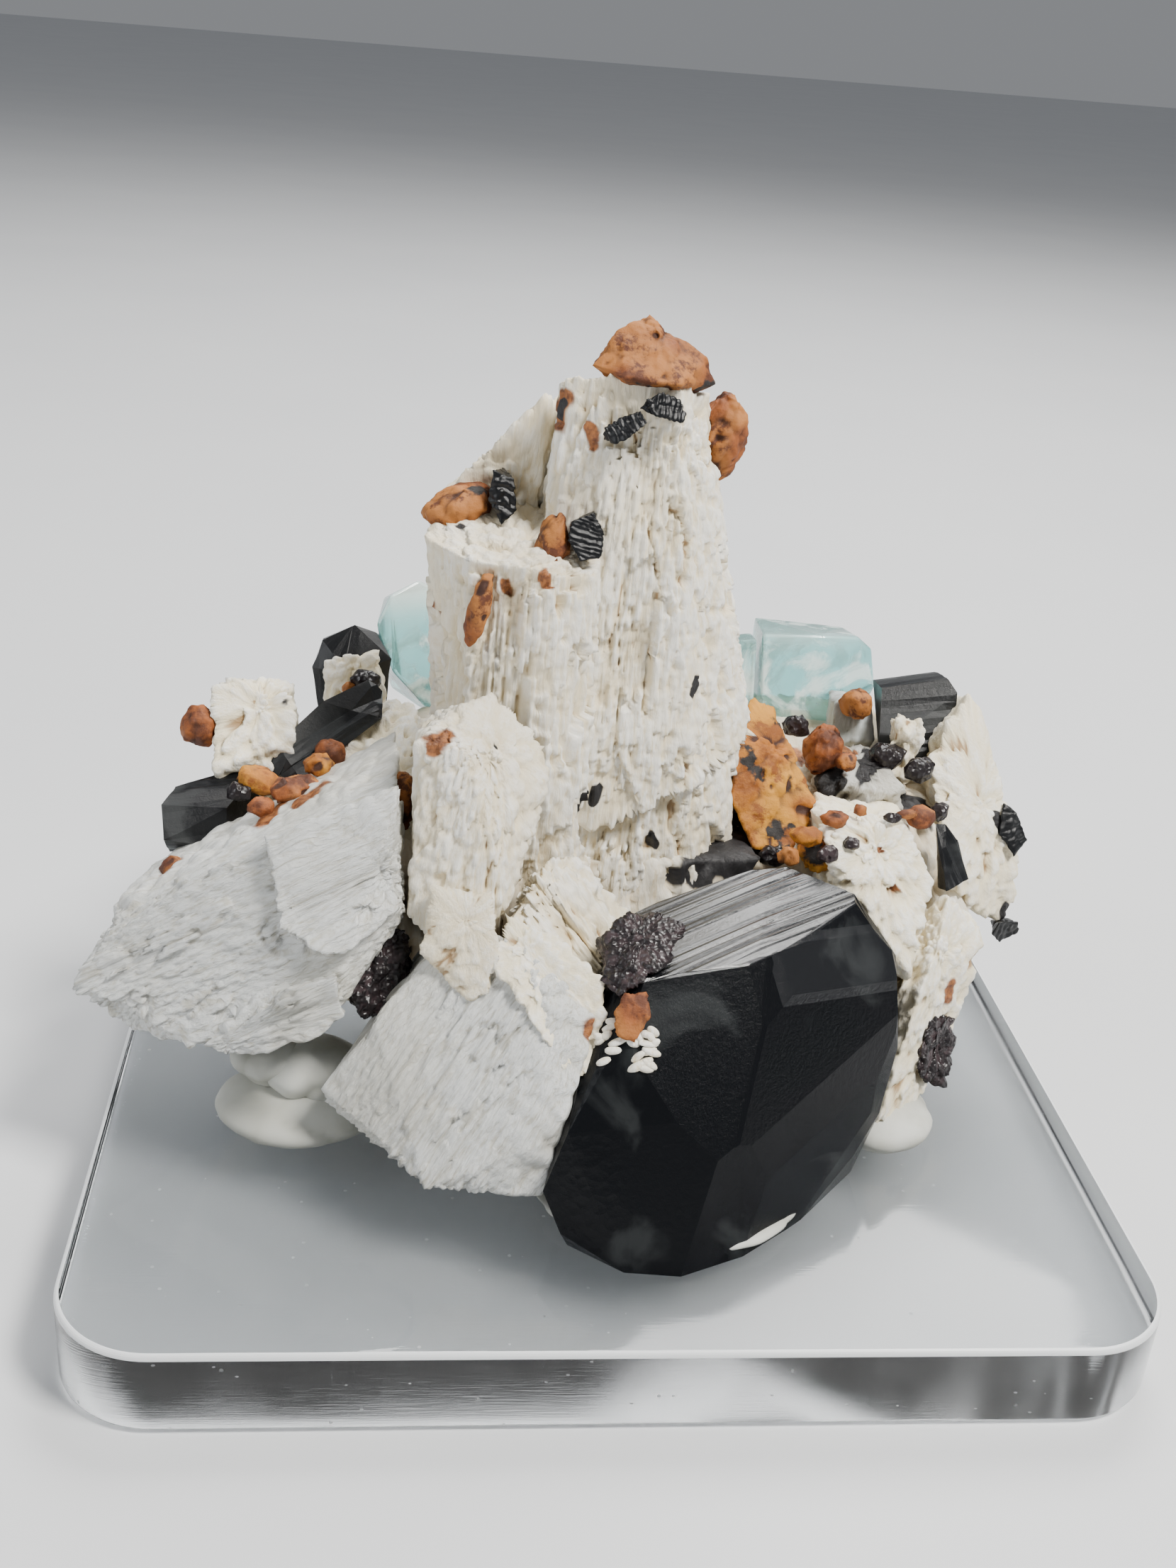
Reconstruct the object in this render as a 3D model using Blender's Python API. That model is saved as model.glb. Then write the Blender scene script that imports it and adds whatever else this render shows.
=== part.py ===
"""Aquamarine and schorl grown on feldspar, fixed with putty on a clear acrylic block.

Metres, +Z up. The origin is the centre of the block's underside and the front is -Y.
Lengths in this file are in millimetres; MM turns them into metres when a mesh is made.

Each crystal is given by the corners of its convex form. Feldspar is fluted and broken,
so its faces are divided and sunk in flutes and ledges. Schorl and aquamarine keep flat
faces, and the rusty nodules are lumpy balls. Where crystals meet, the one named later is
cut back from the one named before it.
"""

import math

import bmesh
import bpy
import numpy as np
from mathutils import Matrix, Vector

MM = 0.001

# Driving dimensions, in millimetres
BASE_WIDTH = 76.0
BASE_THICKNESS = 6.35
BASE_CORNER_RADIUS = 7.0
BASE_EDGE_CHAMFER = 0.5
BASE_CORNER_STEPS = 7
TOWER_TOP = 62.2
LEDGE_HEIGHT = 37.5
MATRIX_FOOT = 9.0
MEETING_GAP = 0.36
FOOT = BASE_THICKNESS + MEETING_GAP

for leftover in list(bpy.data.objects):
    bpy.data.objects.remove(leftover, do_unlink=True)


def material(name, colour, roughness, transmission=0.0, ior=1.5):
    """Principled material with one base colour."""
    made = bpy.data.materials.new(name)
    made.use_nodes = True
    shader = made.node_tree.nodes["Principled BSDF"]
    shader.inputs["Base Color"].default_value = (*colour, 1.0)
    shader.inputs["Roughness"].default_value = roughness
    shader.inputs["Metallic"].default_value = 0.0
    shader.inputs["Transmission Weight"].default_value = transmission
    shader.inputs["IOR"].default_value = ior
    made.diffuse_color = (*colour, 1.0)
    return made


ACRYLIC = material("clear_acrylic", (0.95, 0.97, 0.98), 0.03, 0.95, 1.49)
PUTTY = material("white_putty", (0.72, 0.72, 0.68), 0.75)
SCHORL = material("black_schorl", (0.012, 0.013, 0.016), 0.22)
AQUAMARINE = material("aquamarine", (0.62, 0.86, 0.88), 0.12, 0.7, 1.58)
RUST = material("rusty_nodule", (0.52, 0.2, 0.045), 0.7)
FELDSPAR = material("white_feldspar", (0.84, 0.81, 0.72), 0.6)
GREY_FELDSPAR = material("grey_feldspar", (0.6, 0.63, 0.62), 0.45)


def signed_volume(faces):
    """Volume inside a closed set of triangles, from the cones to the origin."""
    total = 0.0
    for face in faces:
        first, second, third = (vertex.co for vertex in face.verts)
        total += first.dot(second.cross(third)) / 6.0
    return total


def keep_largest_body(mesh):
    """Delete every loose body of a triangle mesh except the largest one."""
    unseen = set(mesh.faces)
    bodies = []
    while unseen:
        stack = [unseen.pop()]
        body = list(stack)
        while stack:
            for edge in stack.pop().edges:
                for face in edge.link_faces:
                    if face in unseen:
                        unseen.remove(face)
                        stack.append(face)
                        body.append(face)
        bodies.append(body)
    bodies.sort(key=signed_volume)
    spare = [face for body in bodies[:-1] for face in body]
    bmesh.ops.delete(mesh, geom=spare, context="FACES")


def hull(corners):
    """Closed convex mesh through the outermost of the corners."""
    mesh = bmesh.new()
    for corner in corners:
        mesh.verts.new(corner)
    bmesh.ops.convex_hull(mesh, input=mesh.verts, use_existing_faces=False)
    loose = [vertex for vertex in mesh.verts if not vertex.link_faces]
    bmesh.ops.delete(mesh, geom=loose, context="VERTS")
    bmesh.ops.recalc_face_normals(mesh, faces=mesh.faces)
    mesh.normal_update()
    return mesh


def swollen(mesh, distance):
    """Copy of a convex mesh with its faces moved outwards by about the distance."""
    grown = mesh.copy()
    grown.normal_update()
    moves = [v.normal * v.calc_shell_factor() * distance for v in grown.verts]
    for vertex, move in zip(grown.verts, moves):
        vertex.co += move
    return grown


SMALLEST = 1e-6


def face_planes(mesh):
    """Outward normals and distances from the origin of a mesh's faces."""
    normals = np.array([face.normal[:] for face in mesh.faces])
    points = np.array([face.verts[0].co[:] for face in mesh.faces])
    return normals, (normals * points).sum(1)


def reach(planes, start, directions):
    """Distance from a point inside a convex form to its surface, along directions."""
    normals, distances = planes
    facing = directions @ normals.T
    room = distances - normals @ start
    facing = np.maximum(facing, SMALLEST)
    return (room / facing).min(1)


def to_object(name, mesh):
    """Object with the mesh in it."""
    data = bpy.data.meshes.new(name)
    mesh.to_mesh(data)
    made = bpy.data.objects.new(name, data)
    bpy.context.scene.collection.objects.link(made)
    return made


def combined(mesh, others, operation):
    """The mesh after an exact Boolean with each of the others in turn."""
    target = to_object("target", mesh)
    for other in others:
        cutter = to_object("cutter", other)
        boolean = target.modifiers.new("boolean", "BOOLEAN")
        boolean.operation = operation
        boolean.solver = "EXACT"
        boolean.object = cutter
        graph = bpy.context.evaluated_depsgraph_get()
        data = bpy.data.meshes.new_from_object(target.evaluated_get(graph))
        target.modifiers.clear()
        target.data = data
        bpy.data.objects.remove(cutter, do_unlink=True)
    result = bmesh.new()
    result.from_mesh(target.data)
    bpy.data.objects.remove(target, do_unlink=True)
    return result


UNEVEN_SHARE = 0.25
EDGE_SHARE = 0.3
SHARP_EDGE = math.radians(25)
CORE_SHARE = 0.6
RODS = 64
BREAK_HEIGHTS = (0.2, 0.85)
SNAP = 0.05


def sliced(mesh, direction, spacing):
    """Add edges where evenly spaced planes across the direction cut the mesh."""
    heights = [vertex.co.dot(direction) for vertex in mesh.verts]
    low, high = min(heights), max(heights)
    for step in range(math.ceil(low / spacing), math.ceil(high / spacing)):
        parts = list(mesh.verts) + list(mesh.edges) + list(mesh.faces)
        bmesh.ops.bisect_plane(mesh, geom=parts, dist=SNAP, plane_no=direction,
                               plane_co=direction * spacing * step)


def broken_crystal(corners, axis, flute, length, groove, ledge, seed):
    """Fluted, broken crystal: the hull of its corners with a worn surface.

    Planes along the fibre axis divide the faces into flutes, and planes across it divide
    these into lengths. Every point then sinks towards the crystal's core, by the depth
    of the flute that it is in and by one ledge more where that flute is broken off, at a
    height of its own. Points on a sharp edge sink least, which keeps the outline.
    """
    random = np.random.RandomState(seed)
    mesh = hull(corners)
    planes = face_planes(mesh)
    line = Vector(axis).normalized()
    side = line.orthogonal().normalized()
    other = line.cross(side)
    for direction, spacing in ((side, flute), (other, flute), (line, length)):
        sliced(mesh, direction, spacing)
    bmesh.ops.triangulate(mesh, faces=mesh.faces)

    centre = Vector(np.mean(corners, axis=0))
    up, down = CORE_SHARE * reach(planes, centre, np.array([line, -line]))
    heights = [vertex.co.dot(line) for vertex in mesh.verts]
    low, high = min(heights), max(heights)
    depths = random.uniform(0, 1, (RODS, RODS))
    breaks = random.uniform(*BREAK_HEIGHTS, (RODS, RODS))
    moves = []
    for vertex, height in zip(mesh.verts, heights):
        rod = (round(vertex.co.dot(side) / flute) % RODS,
               round(vertex.co.dot(other) / flute) % RODS)
        depth = groove * (depths[rod] + UNEVEN_SHARE * random.uniform(0, 1))
        if (height - low) / (high - low) > breaks[rod]:
            depth += ledge
        if max(edge.calc_face_angle() for edge in vertex.link_edges) > SHARP_EDGE:
            depth *= EDGE_SHARE
        along = (vertex.co - centre).dot(line)
        core = centre + line * min(max(along, -down), up)
        moves.append((core - vertex.co).normalized() * depth)
    for vertex, move in zip(mesh.verts, moves):
        vertex.co += move
    return mesh


def ball(detail):
    """Icosphere of radius 1: 80 faces at detail 2, 320 at detail 3."""
    mesh = bmesh.new()
    bmesh.ops.create_icosphere(mesh, subdivisions=detail, radius=1.0)
    return mesh


def nodule(centre, radii, lean, detail, lumps, seed):
    """Lumpy ellipsoid and the smooth one that holds it. Lean turns it about X, Y, Z."""
    random = np.random.RandomState(seed)
    turn = Matrix.Identity(3)
    for angle, about in zip(lean, "XYZ"):
        turn = Matrix.Rotation(math.radians(angle), 3, about) @ turn
    smooth = ball(detail)
    lumpy = ball(detail)
    for form, depth in ((smooth, 0.0), (lumpy, lumps)):
        for vertex in form.verts:
            size = 1.0 - depth * random.uniform(0, 1)
            point = Vector(vertex.co[k] * radii[k] * size for k in range(3))
            vertex.co = turn @ point + Vector(centre)
    return lumpy, smooth


def clump(corners, detail, lumps, seed):
    """Lumpy ball shrunk onto the hull of its corners."""
    random = np.random.RandomState(seed)
    planes = face_planes(hull(corners))
    centre = np.mean(corners, axis=0)
    mesh = ball(detail)
    rays = np.array([vertex.co[:] for vertex in mesh.verts])
    size = reach(planes, centre, rays) * (1.0 - lumps * random.uniform(0, 1, len(rays)))
    for vertex, point in zip(mesh.verts, centre + rays * size[:, None]):
        vertex.co = point
    return mesh


def rounded_square(width, radius, steps):
    """Corner points of a square with round corners, counter-clockwise."""
    points = []
    for quarter in range(4):
        middle = math.pi / 4 + quarter * math.pi / 2
        centre_x = math.copysign(width / 2 - radius, math.cos(middle))
        centre_y = math.copysign(width / 2 - radius, math.sin(middle))
        for step in range(steps + 1):
            angle = (quarter + step / steps) * math.pi / 2
            points.append((centre_x + radius * math.cos(angle),
                           centre_y + radius * math.sin(angle)))
    return points


def acrylic_block():
    """Square block with round corners and a small chamfer along its edges."""
    edge = BASE_EDGE_CHAMFER
    outer = rounded_square(BASE_WIDTH, BASE_CORNER_RADIUS, BASE_CORNER_STEPS)
    inner = rounded_square(BASE_WIDTH - 2 * edge, BASE_CORNER_RADIUS - edge,
                           BASE_CORNER_STEPS)
    layers = ((inner, 0.0), (outer, edge), (outer, BASE_THICKNESS - edge),
              (inner, BASE_THICKNESS))
    mesh = bmesh.new()
    rings = [[mesh.verts.new((x, y, z)) for x, y in ring] for ring, z in layers]
    for lower, upper in zip(rings, rings[1:]):
        for k in range(len(lower)):
            n = (k + 1) % len(lower)
            mesh.faces.new((lower[k], lower[n], upper[n], upper[k]))
    mesh.faces.new(reversed(rings[0]))
    mesh.faces.new(rings[-1])
    return mesh


def boxes_meet(first, second):
    """True where two meshes' boxes overlap."""
    points_a = np.array([vertex.co[:] for vertex in first.verts])
    points_b = np.array([vertex.co[:] for vertex in second.verts])
    apart = (points_a.min(0) > points_b.max(0)) | (points_b.min(0) > points_a.max(0))
    return not apart.any()


FLAT_ANGLE = math.radians(3)
claimed = []


def add_piece(name, look, meshes, outlines=None, smooth=False):
    """Make the piece's object: its meshes joined, then cut back from earlier pieces.

    The outlines are the convex forms that the meshes lie in. They are what later pieces
    are cut back from, with a small gap.
    """
    joined = combined(meshes[0], meshes[1:], "UNION")
    cutters = [outline for outline in claimed if boxes_meet(outline, joined)]
    cut = combined(joined, cutters, "DIFFERENCE")
    bmesh.ops.triangulate(cut, faces=cut.faces)
    keep_largest_body(cut)
    rim = [edge for edge in cut.edges if edge.is_boundary]
    bmesh.ops.holes_fill(cut, edges=rim, sides=0)
    bmesh.ops.dissolve_limit(cut, angle_limit=FLAT_ANGLE, verts=cut.verts, edges=cut.edges)
    bmesh.ops.triangulate(cut, faces=cut.faces)
    bmesh.ops.scale(cut, vec=(MM, MM, MM), verts=cut.verts)
    made = to_object(name, cut)
    made.data.materials.append(look)
    if smooth:
        made.data.shade_smooth()
        made.data.set_sharp_from_angle(angle=math.radians(40))
    claimed.extend(swollen(outline, MEETING_GAP) for outline in outlines or meshes)


# Clear acrylic block
add_piece("acrylic_base", ACRYLIC, [acrylic_block()])


# Large schorl crystal at the front. Its striated top faces end at a ridge, and the dark
# faces of the termination lie below it, down to the foot on the block.
SCHORL_FRONT = [
    (3.0, -23.0, 24.0), (10.7, -18.5, 25.2), (17.8, -13.1, 25.6), (17.6, -11.5, 26.4),
    (12.9, -9.5, 27.3), (10.1, -10.0, 27.2), (2.7, -13.5, 26.2), (-0.8, -16.0, 25.9),
    (1.2, -22.0, 24.6), (21.1, -14.0, 22.2), (20.1, -17.0, 21.1), (23.1, -13.5, 19.1),
    (21.3, -17.0, 16.0), (20.1, -19.0, 11.6), (18.0, -21.0, 9.2), (17.3, -21.5, 13.5),
    (6.9, -27.0, 17.0), (10.5, -25.5, 15.7), (-2.3, -24.5, 19.6), (-4.3, -27.0, 15.5),
    (-5.8, -28.0, 11.4), (-4.5, -29.0, 8.6), (-0.1, -30.8, FOOT), (3.8, -31.2, FOOT),
    (9.1, -28.9, FOOT), (13.4, -25.3, FOOT), (18.4, -19.8, FOOT), (-3.8, -28.0, FOOT),
    (-3.0, -18.0, 12.0), (4.0, -10.0, 12.0), (17.0, -10.0, 12.0), (21.0, -11.0, 18.0),
]
add_piece("schorl_front", SCHORL, [hull(SCHORL_FRONT)])

# Small flat-faced schorl crystals, each by its corners
SCHORL_CRYSTALS = {
    "schorl_left_prism": [
        (-34.4, -3.0, 27.7), (-33.6, -1.0, 28.3), (-30.4, 0.5, 28.9), (-29.5, -3.0, 27.6),
        (-34.0, -5.0, 25.6), (-29.5, -4.0, 24.6), (-33.9, -3.0, 23.6), (-29.0, 2.0, 24.0),
        (-33.0, 1.0, 24.2), (-27.4, 1.0, 29.0), (-27.4, 0.0, 25.0),
    ],
    "schorl_left_ribbed": [
        (-27.0, 1.0, 28.4), (-26.1, 1.6, 30.9), (-23.1, 5.0, 33.6), (-19.2, 7.0, 34.6),
        (-18.0, 7.0, 33.7), (-18.0, 4.0, 32.5), (-21.2, 2.0, 30.4), (-24.0, 0.0, 28.6),
        (-26.0, 4.0, 28.0), (-18.0, 9.0, 31.0),
    ],
    "schorl_left_dome": [
        (-24.2, 14.0, 32.7), (-23.4, 15.0, 34.8), (-20.7, 16.0, 35.9), (-18.9, 16.0, 35.3),
        (-17.5, 14.0, 33.7), (-21.0, 12.6, 32.6), (-23.5, 19.0, 33.5), (-18.5, 19.5, 33.8),
        (-21.0, 20.0, 26.0), (-23.5, 16.0, 26.0), (-18.0, 16.0, 26.0),
    ],
    "schorl_right_block": [
        (24.1, 10.0, 34.4), (29.6, 10.0, 35.6), (30.4, 9.0, 34.6), (30.2, 7.0, 31.3),
        (27.2, 6.0, 29.4), (23.5, 6.0, 30.2), (24.4, 14.0, 33.6), (29.8, 14.0, 34.6),
        (27.0, 11.0, 26.5), (30.0, 11.0, 28.0),
    ],
    "schorl_right_plate": [
        (25.6, -4.2, 28.6), (26.6, -4.2, 28.7), (27.8, -4.3, 27.4), (29.0, -5.2, 24.3),
        (26.6, -7.2, 24.2), (26.2, -5.4, 27.0), (27.4, -2.6, 27.4), (28.6, -3.6, 24.0),
        (26.4, -5.0, 23.4),
    ],
    "schorl_slab_patch": [
        (33.6, 2.6, 27.6), (35.0, 2.2, 26.8), (36.2, 1.6, 24.4), (34.6, 0.2, 23.4),
        (33.2, 1.0, 25.2), (34.6, 4.4, 26.6), (35.6, 3.6, 24.2),
    ],
    "schorl_slab_tip": [
        (33.8, -1.6, 18.4), (35.8, -0.8, 18.0), (36.2, -0.6, 16.8), (34.2, -1.4, 16.2),
        (33.2, -1.8, 17.2), (35.6, 1.4, 17.2), (34.0, 1.2, 17.0),
    ],
    "schorl_shoulder_crystal": [
        (-5.2, -6.4, 52.4), (-3.4, -5.8, 53.0), (-2.6, -6.2, 51.4), (-2.8, -7.2, 50.0),
        (-4.4, -7.6, 49.8), (-5.4, -7.0, 51.2), (-3.4, -3.4, 52.4), (-3.6, -4.0, 49.4),
        (-5.0, -4.0, 51.6),
    ],
    "schorl_shoulder_ledge": [
        (-10.6, -1.8, 54.6), (-8.9, -1.8, 54.0), (-8.6, -2.4, 51.8), (-9.8, -3.0, 50.8),
        (-10.9, -2.0, 52.4), (-9.6, 1.4, 54.0), (-9.4, 1.0, 51.0),
    ],
    "schorl_top_ribs": [
        (-2.2, -4.9, 59.4), (-1.2, -4.9, 60.8), (1.6, -4.9, 61.0), (2.0, -4.9, 59.8),
        (0.2, -5.4, 58.8), (-1.4, -5.4, 58.4), (-1.0, -2.4, 60.2), (1.4, -2.4, 60.0),
        (0.0, -2.6, 58.4),
    ],
}
for piece_name, corner_list in SCHORL_CRYSTALS.items():
    add_piece(piece_name, SCHORL, [hull(corner_list)])

# Rough, sparkling schorl: a knob on the large crystal's corner, a patch in the gap
# between the blade and the stubs, and a clump at the foot of the right mass. Each has
# its corners and the detail of its ball.
SCHORL_CLUMPS = {
    "schorl_knob": ([
        (-2.2, -18.6, 26.3), (-0.5, -17.4, 27.8), (2.2, -17.4, 27.9), (4.7, -18.4, 27.2),
        (4.7, -21.2, 25.2), (2.2, -23.4, 24.4), (-0.8, -23.0, 23.2), (-2.4, -21.4, 23.6),
        (-2.6, -17.0, 24.6), (1.0, -15.6, 26.4), (1.0, -19.0, 23.0),
    ], 2),
    "schorl_gap_patch": ([
        (-20.4, -15.2, 23.6), (-18.3, -14.4, 25.0), (-14.6, -15.0, 24.6),
        (-14.8, -17.0, 17.6), (-18.6, -18.6, 16.6), (-20.4, -18.0, 19.4),
        (-18.0, -10.0, 22.0), (-15.0, -10.0, 17.0), (-19.0, -11.0, 16.0),
    ], 2),
    "schorl_right_clump": ([
        (23.2, -13.6, 16.8), (26.9, -11.0, 16.4), (29.9, -9.0, 13.4), (29.8, -11.0, 9.6),
        (27.4, -13.8, 8.6), (24.5, -15.0, 10.0), (23.4, -15.0, 13.4), (26.0, -7.0, 14.0),
        (26.0, -8.0, 9.4),
    ], 2),
}
CLUMP_LUMPS = 0.14
for number, (piece_name, facts) in enumerate(SCHORL_CLUMPS.items()):
    lumpy_form = clump(*facts, CLUMP_LUMPS, 31 + number)
    add_piece(piece_name, SCHORL, [lumpy_form], [hull(facts[0])])


# Aquamarine: short six-sided crystals, see-through
AQUAMARINE_CRYSTALS = {
    "aquamarine_left": [
        (-18.9, 17.6, 35.4), (-17.8, 18.6, 37.8), (-15.4, 20.0, 38.8), (-13.2, 20.4, 37.6),
        (-12.6, 18.0, 32.0), (-17.4, 15.6, 32.0), (-18.4, 22.0, 36.4), (-14.4, 24.4, 36.6),
        (-12.0, 22.4, 31.0), (-17.6, 21.6, 28.0), (-13.4, 17.0, 27.0),
    ],
    "aquamarine_right": [
        (14.6, 16.0, 36.6), (19.9, 16.2, 36.7), (23.4, 17.0, 36.4), (25.2, 18.4, 34.8),
        (25.6, 17.0, 31.6), (21.6, 13.6, 30.6), (14.8, 13.4, 30.6), (15.2, 22.8, 35.8),
        (23.6, 23.4, 35.0), (25.6, 22.0, 30.6), (14.6, 21.0, 26.0), (22.0, 15.0, 26.0),
    ],
    "aquamarine_right_small": [
        (12.3, 15.6, 36.0), (14.0, 15.4, 36.3), (14.2, 14.4, 31.0), (12.2, 14.2, 31.0),
        (12.4, 18.4, 35.6), (14.1, 18.6, 35.8), (12.6, 18.0, 27.0), (14.0, 17.6, 27.0),
    ],
}
for piece_name, corner_list in AQUAMARINE_CRYSTALS.items():
    add_piece(piece_name, AQUAMARINE, [hull(corner_list)])


# Rusty lumps by their corners, with the detail of the ball: the cap on the tower, the
# big one behind the black crystal, and the low one beside it
RUST_CLUMPS = {
    "rust_cap": ([
        (-4.4, -3.2, 62.6), (-3.0, -2.2, 65.2), (-0.4, -1.0, 67.6), (1.8, -1.2, 65.6),
        (4.4, -1.4, 63.2), (5.3, -1.4, 61.4), (2.2, -4.9, 61.8), (-2.2, -5.0, 62.2),
        (-3.6, 2.4, 62.0), (0.4, 4.4, 62.6), (4.4, 2.4, 61.0), (0.4, 0.0, 58.4),
    ], 2),
    "rust_right_large": ([
        (11.0, 2.0, 36.8), (9.2, -1.0, 34.6), (9.0, -4.0, 30.0), (10.8, -5.9, 26.8),
        (13.9, -6.4, 25.6), (14.8, 0.0, 33.0), (16.6, -3.2, 29.2), (13.1, 2.0, 35.8),
        (10.0, 4.0, 30.0), (15.0, 3.0, 29.0), (12.0, 4.6, 34.0), (12.6, -1.0, 23.6),
    ], 3),
    "rust_right_low": ([
        (13.7, -6.0, 28.2), (18.4, -6.0, 28.6), (18.9, -8.8, 26.2), (14.1, -8.9, 25.9),
        (14.4, -4.0, 26.0), (18.0, -4.0, 26.6), (16.0, -8.0, 29.0),
    ], 2),
}
for number, (piece_name, facts) in enumerate(RUST_CLUMPS.items()):
    lumpy_form = clump(*facts, CLUMP_LUMPS, 41 + number)
    add_piece(piece_name, RUST, [lumpy_form], [hull(facts[0])])

# Small rusty nodules: centre, radii, and lean about X, Y and Z in degrees
RUST_NODULES = {
    "rust_top_side": ((6.0, 1.0, 57.0), (2.4, 2.9, 4.2), (0, 16, 0)),
    "rust_shoulder_cap": ((-12.8, 0.2, 51.2), (3.4, 3.0, 1.9), (0, -16, 10)),
    "rust_shoulder_lump": ((-6.2, -5.6, 50.6), (1.7, 1.8, 2.4), (0, 10, 0)),
    "rust_spindle": ((-11.3, -8.0, 46.2), (1.1, 1.3, 3.3), (0, 12, 0)),
    "rust_right_inner": ((17.8, 3.2, 31.4), (2.1, 2.2, 2.6), (0, 20, 0)),
    "rust_right_outer": ((21.9, 9.2, 33.2), (1.8, 1.8, 1.7), (0, 0, 0)),
    "rust_right_seam": ((24.4, -4.2, 29.2), (1.5, 1.4, 1.1), (0, 0, 0)),
    "rust_left_high": ((-32.2, 3.2, 31.6), (1.9, 1.9, 1.9), (0, 0, 0)),
    "rust_left_middle": ((-27.2, -1.6, 29.3), (2.1, 1.8, 1.3), (0, 20, 0)),
    "rust_left_low": ((-23.8, -4.6, 29.4), (2.3, 2.6, 1.7), (20, -30, 0)),
    "rust_left_small": ((-22.0, 1.4, 30.2), (1.6, 1.6, 1.7), (0, 0, 0)),
    "rust_left_brown": ((-16.6, -8.6, 31.2), (1.8, 2.0, 3.4), (10, 8, 0)),
    "rust_left_edge": ((-33.2, -6.8, 24.4), (1.3, 1.3, 0.9), (0, -30, 0)),
}
NODULE_LUMPS = 0.16
for number, (piece_name, facts) in enumerate(RUST_NODULES.items()):
    lumpy_form, smooth_form = nodule(*facts, 2, NODULE_LUMPS, 51 + number)
    add_piece(piece_name, RUST, [lumpy_form], [smooth_form])


# Feldspar, each block by its corners. The tower is a tall column on a wider foot, with a
# shorter column on its left and a sloping buttress behind them.
COLUMN = [
    (-6.9, -2.4, 61.6), (-6.3, -3.2, TOWER_TOP), (-3.0, -4.2, TOWER_TOP + 0.6),
    (2.2, -4.2, TOWER_TOP), (4.9, -1.0, 61.0), (5.3, 3.0, 60.0), (1.0, 7.0, 59.0),
    (-4.5, 6.5, 59.0), (11.1, -3.2, 35.0), (11.4, 3.0, 35.5), (7.0, 9.0, 35.0),
    (-5.0, 10.0, 35.0), (-9.0, 4.0, 33.0), (-8.0, -5.2, 30.0), (-2.0, -8.4, 28.0),
    (5.6, -7.9, 32.0),
]
LOWER_COLUMN = [
    (9.8, -3.0, LEDGE_HEIGHT), (9.9, 3.0, LEDGE_HEIGHT), (6.0, 8.5, LEDGE_HEIGHT),
    (-5.0, 9.0, LEDGE_HEIGHT), (-8.0, 3.0, LEDGE_HEIGHT), (-7.0, -5.0, LEDGE_HEIGHT),
    (0.0, -6.6, LEDGE_HEIGHT), (6.0, -6.2, LEDGE_HEIGHT), (10.0, -6.4, 14.0),
    (11.5, 1.0, 13.0), (8.0, 9.0, 12.0), (-4.0, 10.0, 12.0), (-9.0, 3.0, 12.0),
    (-7.0, -8.0, 13.0), (0.0, -10.4, 14.0), (7.0, -8.8, 20.0),
]
SHORT_COLUMN = [
    (-16.0, -4.0, 50.6), (-12.7, -8.2, 50.1), (-6.4, -9.3, 50.0), (-2.8, -8.2, 49.2),
    (-2.0, -3.0, 49.9), (-4.0, 2.0, 51.5), (-10.6, 2.0, 52.2), (-15.2, 1.0, 51.6),
    (-15.4, -5.2, 42.0), (-15.0, 2.0, 42.0), (-13.6, -7.2, 35.0), (-12.0, -7.0, 20.0),
    (-10.0, -9.5, 18.0), (-3.0, -10.5, 18.0), (0.0, -6.0, 18.0), (-2.0, 3.0, 18.0),
    (-11.0, 3.0, 20.0),
]
BUTTRESS = [
    (-6.8, 0.6, 60.4), (-5.0, 7.0, 59.0), (-8.6, 1.4, 57.2), (-10.3, 2.0, 55.2),
    (-10.5, 7.0, 54.0), (-13.5, 2.0, 52.6), (-14.5, 6.0, 50.5), (-15.2, 1.0, 51.4),
    (-15.0, 7.0, 24.0), (-14.0, 0.0, 24.0), (-5.0, 0.0, 24.0), (-3.0, 9.0, 24.0),
    (-3.0, 8.0, 57.0),
]
FRONT_STUB = [
    (-16.2, -14.0, 38.6), (-12.6, -11.0, 41.0), (-9.8, -9.0, 41.2), (-6.7, -8.0, 40.0),
    (-5.1, -11.0, 35.4), (-7.2, -15.2, 28.9), (-8.6, -17.2, 26.0), (-12.6, -15.2, 38.7),
    (-10.2, -17.2, 32.9), (-14.3, -17.4, 24.0), (-16.0, -16.2, 25.8), (-15.8, -8.0, 38.0),
    (-15.2, -7.0, 24.0), (-6.0, -6.0, 25.0), (-7.0, -5.0, 38.0),
]
LEANING_STUB = [
    (-9.4, -17.2, 26.9), (-7.2, -12.2, 28.9), (-3.5, -10.2, 29.4), (1.8, -11.2, 24.9),
    (0.6, -14.2, 22.8), (-2.5, -18.2, 21.2), (-7.2, -19.4, 21.9), (-8.0, -8.0, 25.0),
    (1.0, -8.0, 22.0), (0.0, -10.0, 15.0), (-7.0, -12.0, 15.0), (-3.0, -16.0, 16.0),
]
FRONT_FAN = [
    (-9.4, -18.4, 26.5), (-14.3, -17.4, 24.9), (-18.7, -19.2, 19.6), (-22.4, -19.2, 13.5),
    (-22.1, -19.2, 12.3), (-17.0, -22.2, 12.0), (-16.5, -24.2, 9.8), (-13.9, -26.7, 9.4),
    (-7.9, -27.2, 10.0), (-5.4, -27.2, 10.0), (-4.3, -27.2, 15.5), (-2.2, -24.2, 19.8),
    (-0.9, -21.2, 22.2), (-1.7, -19.2, 22.8), (-14.0, -10.0, 22.0), (-20.0, -12.0, 12.5),
    (-4.0, -12.0, 20.0), (-4.0, -14.0, MATRIX_FOOT), (-12.0, -12.0, MATRIX_FOOT),
    (-16.0, -14.0, 9.2),
]
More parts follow.
